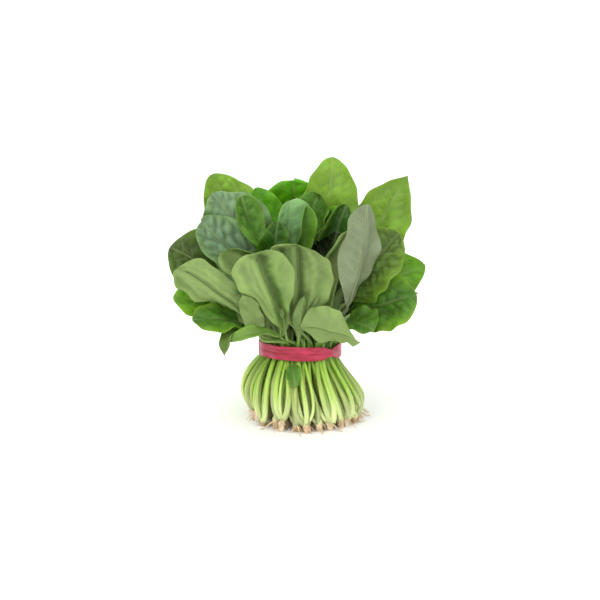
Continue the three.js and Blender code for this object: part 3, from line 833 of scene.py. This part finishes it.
def nearest(points, grid, normals):
    """For each point: which grid point is nearest, how far above the grid's surface it lies there, and how
    far beside it."""
    apart = points[:, None, :] - grid[None, :, :]
    which = np.argmin(np.sum(apart**2, axis=-1), axis=1)
    apart = apart[np.arange(len(points)), which]
    above = np.sum(apart * normals[which], axis=-1)
    beside = np.linalg.norm(apart - above[:, None] * normals[which], axis=-1)
    return which, above, beside


def spread_out(moves, anchored):
    """Moves averaged with those of their neighbours, three times, and held at the foot."""
    for _ in range(3):
        padded = np.pad(moves, ((1, 1), (1, 1), (0, 0)), mode="edge")
        mean = (padded[:-2, 1:-1] + padded[2:, 1:-1] + padded[1:-1, :-2] + padded[1:-1, 2:]) / 4
        moves = mix(moves, mean, 0.6) * anchored
    return moves


def close_pairs(grids):
    """Pairs of blades whose boxes overlap or nearly do, each pair both ways round."""
    lows = np.array([grid.min(axis=(0, 1)) for grid in grids])
    highs = np.array([grid.max(axis=(0, 1)) for grid in grids])
    near = np.all(lows[:, None] < highs[None, :] + BOXES_APART, axis=-1)
    return [(a, b) for a, b in np.argwhere(near & near.T).tolist() if a != b]


# %% Settling
ROUNDS = 14
EAGER = 0.6
STIFFER = 0.3


def settle(leaves, rounds):
    """For so many rounds, pushes apart the neighbouring blades that don't clear each other by CLEAR. Each
    takes half of a push, but next to one without a place of its own, a leaf that has one takes STIFFER less,
    and the other as much more. A round makes EAGER of what is needed."""
    shape = (len(COARSE_T), len(COARSE_V), 3)
    rest = [blade_middle(leaf, COARSE_T, COARSE_V, blistered=False)[0] for leaf in leaves]
    placed = ["at" in leaf for leaf in leaves]
    anchored = smooth(0.05, 0.4, COARSE_T)[:, None, None]
    total = [np.zeros(shape) for _ in rest]
    pairs = close_pairs(rest)
    sides = {}
    for step in range(rounds):
        grids = [(grid + moves).reshape(-1, 3) for grid, moves in zip(rest, total)]
        normals = [normals_of(grid.reshape(shape)).reshape(-1, 3) for grid in grids]
        pushes = [np.zeros_like(grid) for grid in grids]
        crossing = 0
        for a, b in pairs:
            which, above, beside = nearest(grids[a], grids[b], normals[b])
            over = (beside < NEAR_BESIDE) & (np.abs(above) < NEAR_ABOVE)
            if (a, b) not in sides:
                sides[a, b] = 1.0 if np.sum(above[over]) >= 0 else -1.0
            wrong = over & (above * sides[a, b] < CLEAR)
            if not wrong.any():
                continue
            crossing += int(np.sum(over & (above * sides[a, b] < 0)))
            needed = (CLEAR - above[wrong] * sides[a, b])[:, None] * sides[a, b] * normals[b][which[wrong]]
            gives = 0.5 + STIFFER * (placed[b] - placed[a])
            pushes[a][wrong] += EAGER * gives * needed
            np.add.at(pushes[b], which[wrong], -EAGER * (1 - gives) * needed)
        for i, push in enumerate(pushes):
            moved = total[i] + spread_out(push.reshape(shape), anchored)
            size = np.linalg.norm(moved, axis=-1, keepdims=True)
            total[i] = moved * np.minimum(1, MOST / np.maximum(size, 1e-6))
        if step in (0, rounds - 1):
            print(f"round {step + 1}: {crossing} points on the wrong side of a neighbour")
    for leaf, moves in zip(leaves, total):
        leaf["moves"] = moves


# %% [markdown]
# ## Materials
#
# Each material is a small graph of nodes. It could be drawn by hand in the shader editor, but written down
# it can be read from top to bottom. One function adds a node, with its settings and its links, and all the
# graphs are made with it.

# %% A node
def node(tree, kind, output=0, **given):
    """Adds a node, and gives back one of its outputs, by number or name.

    What is given with a small letter, such as operation, is a setting of the node. A capital names an input,
    with _ for a space, and i with a number one that has no name of its own. An input takes a value or the
    output that feeds it.
    """
    made = tree.nodes.new("ShaderNode" + kind)
    for key, value in given.items():
        numbered = key[1:].isdigit()
        if key[0].islower() and not numbered:
            setattr(made, key, value)
            continue
        socket = made.inputs[int(key[1:]) if numbered else key.replace("_", " ")]
        if isinstance(value, bpy.types.NodeSocket):
            tree.links.new(value, socket)
        else:
            socket.default_value = value
    return made.outputs[output] if made.outputs else None


def new_material(name):
    """An empty material, and its tree."""
    material = bpy.data.materials.new(name)
    material.use_nodes = True
    material.node_tree.nodes.clear()
    return material, material.node_tree


def paint(code):
    """A hex colour as a node's colour input takes it, with a fourth channel."""
    return (*linear(code).tolist(), 1.0)


# %% [markdown]
# ### The leaf blade
#
# A fresh spinach blade has a thin wax on it, so its upper side has a soft satin gloss, while its underside is
# paler, greyer and matt. The midrib and the side veins are pale lines, and a finer net lies between them.
# Light that falls through a blade comes out yellow-green, which is why some of its light goes to a
# translucent shader. The wax has an index of refraction of about 1.45.

# %% Spinach blade
def veins(tree, grain, rim):
    """How much of a vein is at a place, from 0 to 1. Side veins are drawn where the surface's own formula has
    them: the distance to the nearest whole number of the vein count, times the gap, is the distance to the
    vein in millimetres."""
    s = node(tree, "SeparateXYZ", "X", Vector=grain)
    y = node(tree, "SeparateXYZ", "Y", Vector=grain)
    wander = node(tree, "TexNoise", Vector=grain, Scale=0.09, Detail=2.0)
    s = node(tree, "Math", operation="MULTIPLY_ADD", i0=wander, i1=4.0, i2=s)
    off = node(tree, "Math", operation="ABSOLUTE", i0=y)
    bend = node(tree, "Math", operation="MULTIPLY_ADD", i0=off, i1=VEIN_CURVE, i2=VEIN_LEAN)
    bend = node(tree, "Math", operation="MULTIPLY", i0=off, i1=bend)
    count = node(tree, "Math", operation="SUBTRACT", i0=s, i1=bend)
    count = node(tree, "Math", operation="DIVIDE", i0=count, i1=VEIN_GAP)
    side = node(tree, "Math", operation="GREATER_THAN", i0=y, i1=0.0)
    count = node(tree, "Math", operation="MULTIPLY_ADD", i0=side, i1=0.5, i2=count)
    away = node(tree, "Math", operation="PINGPONG", i0=count, i1=0.5)
    away = node(tree, "Math", operation="MULTIPLY", i0=away, i1=VEIN_GAP)
    # a side vein fades over 1.4 mm on either side near the midrib, and over 0.4 mm at the margin
    width = node(tree, "MapRange", Value=rim, From_Min=0.2, From_Max=1.0, To_Min=1.4, To_Max=0.4)
    side = node(tree, "MapRange", interpolation_type="SMOOTHSTEP", Value=away, From_Min=0.1, From_Max=width,
                To_Min=1.0, To_Max=0.0)
    side = node(tree, "Math", operation="MULTIPLY", i0=side, i1=0.6)
    middle = node(tree, "MapRange", interpolation_type="SMOOTHSTEP", Value=off, From_Min=0.6, From_Max=2.2,
                  To_Min=1.0, To_Max=0.0)
    vein = node(tree, "Math", operation="MAXIMUM", i0=middle, i1=side)
    # cells of the finer net are 3.5 mm across, wider than the real 2 mm, so that they show
    net = node(tree, "TexVoronoi", "Distance", feature="DISTANCE_TO_EDGE", Vector=grain, Scale=1 / 3.5)
    net = node(tree, "MapRange", Value=net, From_Min=0.02, From_Max=0.14, To_Min=0.25, To_Max=0.0)
    return node(tree, "Math", operation="MAXIMUM", i0=vein, i1=net)


def blade_colour(tree, grain, tint, under, rim, vein):
    """The tint with light and dark patches some 20 mm wide, yellower at the margin, partly its own colour and
    partly painted light shining through the thin edge, and paler on the underside, with pale veins that fade
    here and there."""
    patches = node(tree, "TexNoise", Vector=grain, Scale=0.055, Detail=3.0)
    patches = node(tree, "MapRange", Value=patches, From_Min=0.3, From_Max=0.7, To_Min=0.78, To_Max=1.2)
    body = node(tree, "VectorMath", operation="SCALE", Vector=tint, Scale=patches)
    # the yellow margin: partly the blade's own colour, partly painted light through the thin edge
    margin = node(tree, "Math", operation="POWER", i0=rim, i1=3.0)
    margin = node(tree, "Math", operation="MULTIPLY", i0=margin, i1=0.28)
    body = node(tree, "Mix", 2, data_type="RGBA", i0=margin, i6=body, i7=paint("#86b428"))
    pale = node(tree, "Math", operation="MULTIPLY", i0=under, i1=0.5)
    body = node(tree, "Mix", 2, data_type="RGBA", i0=pale, i6=body, i7=paint("#adbe80"))
    worn = node(tree, "TexNoise", Vector=grain, Scale=0.04, Detail=2.0)
    worn = node(tree, "MapRange", Value=worn, From_Min=0.4, From_Max=0.65, To_Min=0.05, To_Max=0.24)
    shown = node(tree, "Math", operation="MULTIPLY", i0=vein, i1=worn)
    return node(tree, "Mix", 2, data_type="RGBA", i0=shown, i6=body, i7=paint("#c3d98c"))


def blade_material():
    """The colour, with a bump of the veins, which are grooves above and ridges below, and of fine pores. A
    sixth of the light passes through, and comes out yellow-green."""
    material, tree = new_material("spinach_blade")
    grain = node(tree, "Attribute", "Vector", attribute_name="grain")
    tint = node(tree, "Attribute", "Vector", attribute_name="tint")
    under = node(tree, "Attribute", "Fac", attribute_name="under")
    rim = node(tree, "Attribute", "Fac", attribute_name="rim")
    vein = veins(tree, grain, rim)
    base = blade_colour(tree, grain, tint, under, rim, vein)
    sign = node(tree, "Math", operation="MULTIPLY_ADD", i0=under, i1=2.0, i2=-1.0)
    pores = node(tree, "TexNoise", Vector=grain, Scale=0.7, Detail=3.0)
    pores = node(tree, "Math", operation="MULTIPLY", i0=pores, i1=0.5)
    raised = node(tree, "Math", operation="MULTIPLY", i0=vein, i1=sign)
    raised = node(tree, "Math", operation="MULTIPLY_ADD", i0=raised, i1=0.6, i2=pores)
    bump = node(tree, "Bump", Strength=0.5, Distance=0.0006, Height=raised)
    gloss = node(tree, "MapRange", Value=under, To_Min=0.42, To_Max=0.7)
    skin = node(tree, "BsdfPrincipled", Base_Color=base, Roughness=gloss, IOR=1.45, Normal=bump,
                Specular_IOR_Level=0.3)
    through = node(tree, "VectorMath", operation="MULTIPLY", i0=base, i1=(1.7, 1.6, 0.4))
    glow = node(tree, "BsdfTranslucent", Color=through)
    both = node(tree, "MixShader", i0=0.16, i1=skin, i2=glow)
    node(tree, "OutputMaterial", Surface=both)
    return material


# %% [markdown]
# ### The stalk
#
# A stalk is full of water: its skin is glossy and a little light spreads inside it, which softens its
# shadows. Its fibres show as faint lines along it, so the noise that draws them is stretched twelve times
# lengthways.

# %% Spinach stalk
def stalk_material():
    """The tint times a noise of long streaks, with the streaks as faint ridges too."""
    material, tree = new_material("spinach_stalk")
    grain = node(tree, "Attribute", "Vector", attribute_name="grain")
    tint = node(tree, "Attribute", "Vector", attribute_name="tint")
    streaks = node(tree, "TexNoise", Vector=grain, Scale=0.8, Detail=2.0)
    shade = node(tree, "MapRange", Value=streaks, From_Min=0.3, From_Max=0.7, To_Min=0.72, To_Max=1.18)
    base = node(tree, "VectorMath", operation="SCALE", Vector=tint, Scale=shade)
    bump = node(tree, "Bump", Strength=0.3, Distance=0.0004, Height=streaks)
    skin = node(tree, "BsdfPrincipled", Base_Color=base, Roughness=0.36, IOR=1.4, Normal=bump,
                Subsurface_Weight=0.15, Subsurface_Radius=(0.6, 1.0, 0.3), Subsurface_Scale=0.002)
    node(tree, "OutputMaterial", Surface=skin)
    return material


# %% [markdown]
# ### The root and the rubber band
#
# The root's skin is dry, pale tan and finely wrinkled across, so it is matt and its bumps are squeezed along
# its length. The band is plain vulcanised rubber: satin, dyed right through, and streaked with paler lines
# where it is stretched. The streaks could be painted along the strap, but a noise squeezed upwards gives them
# without any coordinates of the strap's own, since it lies almost level.

# %% Root skin
def root_material():
    """Two noises: light and dark patches some 5 mm wide, and wrinkles about 1 mm apart."""
    material, tree = new_material("root_skin")
    place = node(tree, "TexCoord", "Object")
    tint = node(tree, "Attribute", "Vector", attribute_name="tint")
    patches = node(tree, "TexNoise", Vector=place, Scale=200.0, Detail=3.0)
    shade = node(tree, "MapRange", Value=patches, From_Min=0.3, From_Max=0.7, To_Min=0.7, To_Max=1.2)
    base = node(tree, "VectorMath", operation="SCALE", Vector=tint, Scale=shade)
    squeezed = node(tree, "Mapping", Vector=place, Scale=(300.0, 300.0, 1000.0))
    wrinkles = node(tree, "TexNoise", Vector=squeezed, Scale=1.0, Detail=2.0)
    bump = node(tree, "Bump", Strength=0.7, Distance=0.0005, Height=wrinkles)
    skin = node(tree, "BsdfPrincipled", Base_Color=base, Roughness=0.8, IOR=1.45, Normal=bump)
    node(tree, "OutputMaterial", Surface=skin)
    return material


# %% Dyed rubber
def rubber_material():
    """Crimson with paler streaks: a noise some 10 mm long and 2 mm tall."""
    material, tree = new_material("dyed_rubber")
    place = node(tree, "TexCoord", "Object")
    drawn = node(tree, "Mapping", Vector=place, Scale=(90.0, 90.0, 420.0))
    streaks = node(tree, "TexNoise", Vector=drawn, Scale=1.0, Detail=4.0)
    share = node(tree, "MapRange", Value=streaks, From_Min=0.35, From_Max=0.68)
    base = node(tree, "Mix", 2, data_type="RGBA", i0=share, i6=paint("#980a2a"), i7=paint("#c42c50"))
    bump = node(tree, "Bump", Strength=0.15, Distance=0.0002, Height=streaks)
    skin = node(tree, "BsdfPrincipled", Base_Color=base, Roughness=0.42, IOR=1.52, Normal=bump)
    node(tree, "OutputMaterial", Surface=skin)
    return material


BLADE, STALK, ROOT, RUBBER = blade_material(), stalk_material(), root_material(), rubber_material()
for material in (BLADE, STALK, ROOT, RUBBER):
    print(material.name, "has", len(material.node_tree.nodes), "nodes")

# %% [markdown]
# ## Young leaves and seedlings
#
# Between the plants that the frame has, a real bunch is stuffed with smaller ones: seedlings on thin stalks,
# whose leaves stay short. They close the curtain of stalks below the band and darken the inside above it.
# Copies of one seedling would be lighter, but they would show. So each is laid out by the same functions as
# the big plants, with a few more draws. In front their leaves stand up steeply and stay behind the big ones.
# The big plants get a few such leaves too.

# %% Seedlings
# rings of small plants, with the nearest and furthest radius of their feet and of their places in the band,
# and how far the places spread on both sides of the plant's heading
SEEDLINGS = [
    dict(name="between", count=14, heading=-90 + 360 / 28, foot=(43, 48), stalks=5, radius=(22, 33.5),
         turn=15),
    dict(name="inside", count=8, heading=-75, foot=(29, 38), stalks=4, radius=(14, 30), turn=20),
]
# the young leaves of each kind of plant: least and most lean, reach, length and width of their blades
YOUNG = {
    "seedling": dict(lean=(28, 60), reach=(74, 104), blade=(34, 50), wide=(20, 30)),
    "outer": dict(stalks=2, radius=(24, 33), turn=11, lean=(26, 58), reach=(80, 108), blade=(40, 52),
                  wide=(20, 28)),
    "middle": dict(stalks=2, radius=(8, 19), turn=34, lean=(6, 22), reach=(76, 100), blade=(36, 46),
                   wide=(18, 26)),
    "heart": dict(stalks=2, radius=(1, 6), turn=180, lean=(2, 8), reach=(76, 96), blade=(36, 44),
                  wide=(18, 24)),
}
FRONT = -90
FRONT_LEAN = 0.3


def young_leaves(plant, rule):
    """The small leaves of a plant. Near the front they lean less, straight in front by FRONT_LEAN of it."""
    made = []
    for _ in range(rule["stalks"]):
        heading = plant["heading"] + chance.uniform(-1, 1) * rule["turn"]
        slot = polar(chance.uniform(*rule["radius"]), heading)
        front = float(smooth(95, 40, abs(turn_from(FRONT, heading))))
        lean = chance.uniform(*rule["lean"]) * mix(1.0, FRONT_LEAN, front)
        reach, length = chance.uniform(*rule["reach"]), chance.uniform(*rule["blade"])
        foot, tip = blade_between(lean, heading, reach, length)
        made.append({**LEAF, "slot": slot, "foot": foot, "tip": tip, "wide": chance.uniform(*rule["wide"]),
                     "fold": chance.uniform(14, 40), "face": unit(facing_inward(foot, tip)),
                     "phase": chance.uniform(), "bulge": chance.uniform(-5, 3), "tint": "deep", "matt": 0.3,
                     "young": True})
    return made


# %% Collar leaves and tucked leaves
# a collar leaf's radius in the band, and the radius and height of its foot and of its tip
COLLAR = dict(slot=32.5, foot=(36, 79), tip=(50, 122), wide=(13, 20))
TUCKED = [
    dict(plant="outer_14", slot=(31, -112), foot=(-16, -38, 82), tip=(-60, -60, 84), face=(0, -0.6, 0.8),
         wide=15, arch=9, fold=24, tint="light"),
    dict(plant="outer_1", slot=(29, -97), foot=(-7, -33.6, 58.5), tip=(-4, -50, 41), face=(0, -1, 0.4),
         wide=14, arch=1, fold=16),
]


def collar_leaf(plant):
    """A narrow leaf that starts just above the band and stands against the big stalks."""
    heading = plant["heading"] + chance.uniform(-6, 6)
    turned = heading + chance.uniform(-8, 8)
    foot = polar(COLLAR["foot"][0], heading, COLLAR["foot"][1])
    tip = polar(COLLAR["tip"][0], turned, COLLAR["tip"][1] + chance.uniform(-8, 10))
    tint = ["light", "green", "deep"][int(chance.integers(3))]
    return {**LEAF, "slot": polar(COLLAR["slot"], heading), "foot": foot, "tip": tip, "point": 1.0, "arch": 2,
            "wide": chance.uniform(*COLLAR["wide"]), "fold": 36, "face": unit(polar(-1, turned, 0.3)),
            "phase": chance.uniform(), "tint": tint, "young": True}


def tucked_leaf(rule):
    """A small leaf with a place of its own, pressed under the big ones or bent back under the band."""
    leaf = {**LEAF, "young": True, "matt": 0.3, "phase": 0.3, **rule}
    leaf.update(slot=polar(*leaf["slot"]), face=unit(leaf["face"]), foot=np.array(leaf["foot"], float),
                tip=np.array(leaf["tip"], float))
    return leaf


# %% Planting the seedlings
def seedlings(ring):
    """A ring of small plants, each set a little off its even place."""
    made = []
    for k in range(ring["count"]):
        heading = ring["heading"] + 360 / ring["count"] * k + chance.uniform(-4, 4)
        foot = polar(chance.uniform(*ring["foot"]), heading) + (FOOT_SHIFT, 0, 0)
        plant = dict(ring="seedling", name=f"seedling_{ring['name']}_{k + 1}", heading=heading, foot=foot,
                     waist=polar(np.mean(ring["radius"]), heading))
        plant["leaves"] = young_leaves(plant, {**ring, **YOUNG["seedling"]})
        made.append(plant)
    return made


small_plants = [plant for ring in SEEDLINGS for plant in seedlings(ring)]
print("seedlings:", len(small_plants))

# %% [markdown]
# ## The plants
#
# A plant grew as one piece, so it is one object: a crown, its stalks and its blades. Big blades get a grid of
# about 1.5 mm, and small ones a coarser one, since there is a limit to how many triangles a library part may
# have. The object stands for the plant's solid in the frame.

# %% The crown
CROWN_TALL = 8.0
CROWN_R = np.array([3.2, 4.0, 4.1, 3.6, 2.8, 1.7, 0.3])
CUT_TINT = linear("#e2c9a0")


def crown_shell(plant):
    """The pale knob where the stalks meet: circles of CROWN_R over CROWN_TALL, a little fluted, as the
    stalks' feet leave it. A seedling's is a fifth smaller."""
    share = np.linspace(0, 1, len(CROWN_R))
    radius = CROWN_R[:, None] * (0.8 if plant["ring"] == "seedling" else 1)
    turns = np.arange(16) / 16 * 2 * np.pi
    radius = radius * (1 + 0.08 * np.cos(5 * turns + plant["heading"]))
    rings = grid_of(
        plant["foot"][0] + radius * np.cos(turns),
        plant["foot"][1] + radius * np.sin(turns),
        (CROWN_Z + plant["sit"] + CROWN_TALL * share)[:, None],
    )
    tint = mix(CUT_TINT, STALK_TINTS["crown"], smooth(0, 0.4, share)[:, None])
    return shell(rings, tint[:, None, :], grain=rings / 2, material=1)


# %% What is each plant's own
def prepare(plant):
    """How low the plant sits, how its bow is pulled aside, and what is its leaves' own: the waves of the
    blade, its shade and twist, and how far the stalk sways. Then the leaf's curves are known."""
    plant["sit"] = chance.uniform(-8, -1)
    plant["tilt"] = polar(chance.uniform(0, 6), chance.uniform(0, 360))
    if plant["ring"] != "seedling":
        plant["leaves"] += young_leaves(plant, YOUNG[plant["ring"]])
    if plant["ring"] == "outer":
        plant["leaves"].append(collar_leaf(plant))
    plant["leaves"] += [tucked_leaf(rule) for rule in TUCKED if rule["plant"] == plant["name"]]
    for leaf in plant["leaves"]:
        leaf["waves"] = chance.uniform(0, 1, 3)
        leaf["shade"] = chance.uniform(0.88, 1.12)
        leaf["sway"] = chance.uniform(-9, 9)
        leaf["twist"] = chance.uniform(-25, 25) * (0.4 if "at" in leaf else 1)
        leaf["moves"] = np.zeros((len(COARSE_T), len(COARSE_V), 3))
        leaf["curves"] = leaf_curves(plant, leaf)


for plant in plants + small_plants:
    prepare(plant)
settle([leaf for plant in plants for leaf in plant["leaves"] if not leaf["young"]],
       ROUNDS)

# %% Growing
BIG = dict(grid=(54, 30), thick=(0.75, 1.25))
SMALL = dict(grid=(22, 10), thick=(0.5, 0.9))


def grow(plant):
    """The whole plant as one object. A plant of the frame stands for its node."""
    shells = [crown_shell(plant)]
    for leaf in plant["leaves"]:
        size = SMALL if leaf["young"] else BIG
        thick = chance.uniform(*size["thick"])
        shells += [blade(leaf, *size["grid"]), stalk_shell(leaf, thick)]
    made = piece(f"leaves_{plant['name']}", shells, [BLADE, STALK])
    if plant["ring"] != "seedling":
        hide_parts(f"plant_{plant['name']}")
    return made


grown_plants = [grow(plant) for plant in plants + small_plants]
print("triangles in the plants:", 2 * sum(len(made.data.polygons) for made in grown_plants))

# %% [markdown]
# ## The roots
#
# Each plant keeps a stub of its pale root, cut level, with a few fibres. The stub is a tapering tube whose
# radius wanders as it goes round and up. The fibres are thin tubes that fall away from it to the table. Curve
# objects with a bevel would draw them too, but as shells of the same kind they join the stub in one mesh.

# %% Roots
STUB_R = {"cut": 2.1, "top": 3.4}
INTO_CROWN = 2.0
STUB_TINTS = [linear(code) for code in ("#e2cba8", "#cdb08c", "#ecdcc0", "#b3925f")]
STUB_TOP_TINT = linear("#e6cba4")
FIBRE_TINT = linear("#dcbf92")
FIBRES = 4
THICK_FIBRE_ODDS = 0.3
# no fibre runs this way, so each of its circles can be turned by it
ASLANT = (0.31, 0.22, 0.93)


def root_stub(plant):
    """A cone from STUB_R at the cut to that at the crown, leaning a little, with flutes a quarter of a
    millimetre deep and shallower rings."""
    up = np.linspace(0, 1, 12)[:, None]
    turns = np.arange(16) / 16 * 2 * np.pi
    a, b = chance.uniform(0, 6, 2)
    radius = mix(STUB_R["cut"], STUB_R["top"], up**0.8)
    radius = radius + 0.25 * np.sin(3 * turns + a + 2 * up) + 0.15 * np.sin(22 * up + b)
    lean = polar(chance.uniform(0.5, 2.2), chance.uniform(0, 360))
    rings = grid_of(
        plant["foot"][0] + lean[0] * (1 - up) + radius * np.cos(turns),
        plant["foot"][1] + lean[1] * (1 - up) + radius * np.sin(turns),
        (CROWN_Z + plant["sit"] + INTO_CROWN) * up,
    )
    cut = STUB_TINTS[int(chance.integers(len(STUB_TINTS)))]
    tint = mix(cut, STUB_TOP_TINT, smooth(0.5, 1, up))
    return shell(rings, tint[:, None, :])


def fibre(start, heading, length, radius):
    """A thin root: a tube of circles, down to a third as wide, that leaves the stub sideways, falls to the
    table and runs on along it."""
    out = polar(length, heading)
    fall = np.array([0, 0, -start[2]])
    path = [start, start + 0.35 * out + 0.2 * fall, start + 0.7 * out + fall, start + out + fall]
    shares = np.linspace(0, 1, 10)
    points = walk(path, shares)[0]
    points[:, 2] = np.maximum(points[:, 2], radius)
    along = unit(np.gradient(points, axis=0))
    side = unit(np.cross(along, ASLANT))
    circles = around(side, np.cross(side, along), np.arange(6) / 6 * 2 * np.pi)
    radii = mix(radius, radius * 0.35, shares)[:, None, None]
    return shell(points[:, None, :] + radii * circles, FIBRE_TINT)


def grow_root(plant):
    """The stub and its fibres as one object, in place of the root's node. Some have a thick side root."""
    shells = [root_stub(plant)]
    for _ in range(FIBRES):
        heading = chance.uniform(0, 360)
        start = plant["foot"] + polar(3.0, heading, chance.uniform(2, 9))
        shells.append(fibre(start, heading + chance.uniform(-50, 50), chance.uniform(2, 8),
                            chance.uniform(0.25, 0.7)))
    if chance.uniform() < THICK_FIBRE_ODDS:
        heading = plant["heading"] + chance.uniform(-60, 60)
        start = plant["foot"] + polar(2.0, heading, 7)
        shells.append(fibre(start, heading, chance.uniform(8, 14), chance.uniform(0.8, 1.1)))
    made = piece(f"root_stub_{plant['name']}", shells, [ROOT])
    if plant["ring"] != "seedling":
        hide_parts(f"root_{plant['name']}")
    return made


roots = [grow_root(plant) for plant in plants + small_plants]
print("triangles in the roots:", 2 * sum(len(made.data.polygons) for made in roots))

# %% [markdown]
# ## The rubber band
#
# The band is one loop wound twice. Its turns lie one above the other and change places on the right of the
# front, where one passes over the other. Two rings would be easier, but they never cross, so one rounded
# strap is carried round the waist twice. It presses into the stalks a little, so its radius wanders.

# %% The band
STEPS = 360
# each strand, a little taller than half of the band, so that the two touch
STRAND = dict(tall=(BAND_TALL + 0.1) / 2, thick=BAND_THICK)
# where the turns change places, over how many degrees, and how much air the outer one leaves over the inner
CROSSING = dict(heading=-42, width=44, gap=0.35)


def strap_profile(count=16):
    """A rounded rectangle, as (out, up) from -0.5 to 0.5: a circle whose cosine and sine are pushed towards
    the corners by a small power. It goes round so that the faces look outwards."""
    turns = -(np.arange(count) + 0.5) / count * 2 * np.pi
    out, up = np.cos(turns), np.sin(turns)
    return np.stack([np.sign(out) * np.abs(out) ** 0.6, np.sign(up) * np.abs(up) ** 0.35], axis=-1) / 2


def band():
    """The profile carried twice round. Where the turns change places, the outer one steps over the inner."""
    turn = 2 * np.arange(STEPS) / STEPS
    away = ((turn % 1) - 0.5) * 360
    share = smooth(-CROSSING["width"] / 2, CROSSING["width"] / 2, away)
    first = turn < 1
    rise = np.where(first, 1, -1) * (BAND_TALL - STRAND["tall"]) / 2 * (1 - 2 * share)
    over = np.where(first, np.sin(np.pi * share) * (STRAND["thick"] + CROSSING["gap"]), 0)
    heading = np.radians(CROSSING["heading"] + away)
    hug = 0.22 * np.sin(14 * heading + 0.6) + 0.12 * np.sin(9 * heading + 2)
    slant = WAIST_R * (BAND_SLANT[0] * np.cos(heading) + BAND_SLANT[1] * np.sin(heading))
    profile = strap_profile()
    radius = (WAIST_R + over + hug)[:, None] + profile[:, 0] * STRAND["thick"]
    rings = grid_of(
        radius * np.cos(heading)[:, None],
        radius * np.sin(heading)[:, None],
        BAND_Z + (rise + slant)[:, None] + profile[:, 1] * STRAND["tall"],
    )
    return shell(rings, looped=True)


rubber_band = piece("rubber_band_strands", [band()], [RUBBER])
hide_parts("rubber_band")
print("band:", len(rubber_band.data.polygons), "quads")

# %% [markdown]
# ## Floor, light and camera
#
# The bunch stands on white card in soft light. A white sky lights it from all round, one large soft sun
# stands above and to the left of the camera, and a wide lamp behind it brightens the card, so that the shadow
# stays faint. A studio would use a light tent and a flash in a big box. The camera looks slightly down on it
# with a long lens, so that the leaves in front don't look larger than those behind.

# %% Floor
def floor_material():
    """Matt white card."""
    material, tree = new_material("white_card")
    skin = node(tree, "BsdfPrincipled", Base_Color=paint("#fbfbfb"), Roughness=0.9)
    node(tree, "OutputMaterial", Surface=skin)
    return material


bpy.ops.mesh.primitive_grid_add(x_subdivisions=2, y_subdivisions=2, size=80)
floor = bpy.context.object
floor.name = "floor"
floor.data.materials.append(floor_material())

# %% Light
AIM = Vector((0, 0, 0.107))


def aimed(made, place, target=AIM):
    """Puts a lamp or the camera at a place, looking at the target."""
    bpy.context.collection.objects.link(made)
    made.location = place
    made.rotation_euler = (Vector(target) - Vector(place)).to_track_quat("-Z", "Y").to_euler()
    return made


def lamp(name, kind, place, target=AIM, **settings):
    """A lamp with its settings, aimed from its place at the target."""
    made = bpy.data.lights.new(name, kind)
    for key, value in settings.items():
        setattr(made, key, value)
    return aimed(bpy.data.objects.new(name, made), place, target)


world = bpy.data.worlds.new("white_sky")
world.use_nodes = True
world.node_tree.nodes["Background"].inputs["Color"].default_value = (1, 1, 1, 1)
world.node_tree.nodes["Background"].inputs["Strength"].default_value = 1.0
bpy.context.scene.world = world
lamp("soft_key", "SUN", (-0.35, -0.95, 1.5), angle=math.radians(55), energy=1.3)
lamp("floor_light", "AREA", (0, 0.6, 0.55), (0, 0.1, 0), shape="RECTANGLE", size=1.4, size_y=0.4, energy=2.4)

# %% Camera
DISTANCE = 1.25
ELEVATION = math.radians(12.5)
lens = bpy.data.cameras.new("camera")
lens.lens = 85
lens.sensor_width = 36
from_here = AIM + DISTANCE * Vector((0, -math.cos(ELEVATION), math.sin(ELEVATION)))
bpy.context.scene.camera = aimed(bpy.data.objects.new("camera", lens), from_here)
bpy.context.scene.view_settings.view_transform = "Standard"
print("camera:", lens.lens, "mm lens,", DISTANCE, "m away,", round(math.degrees(ELEVATION), 1), "degrees up")
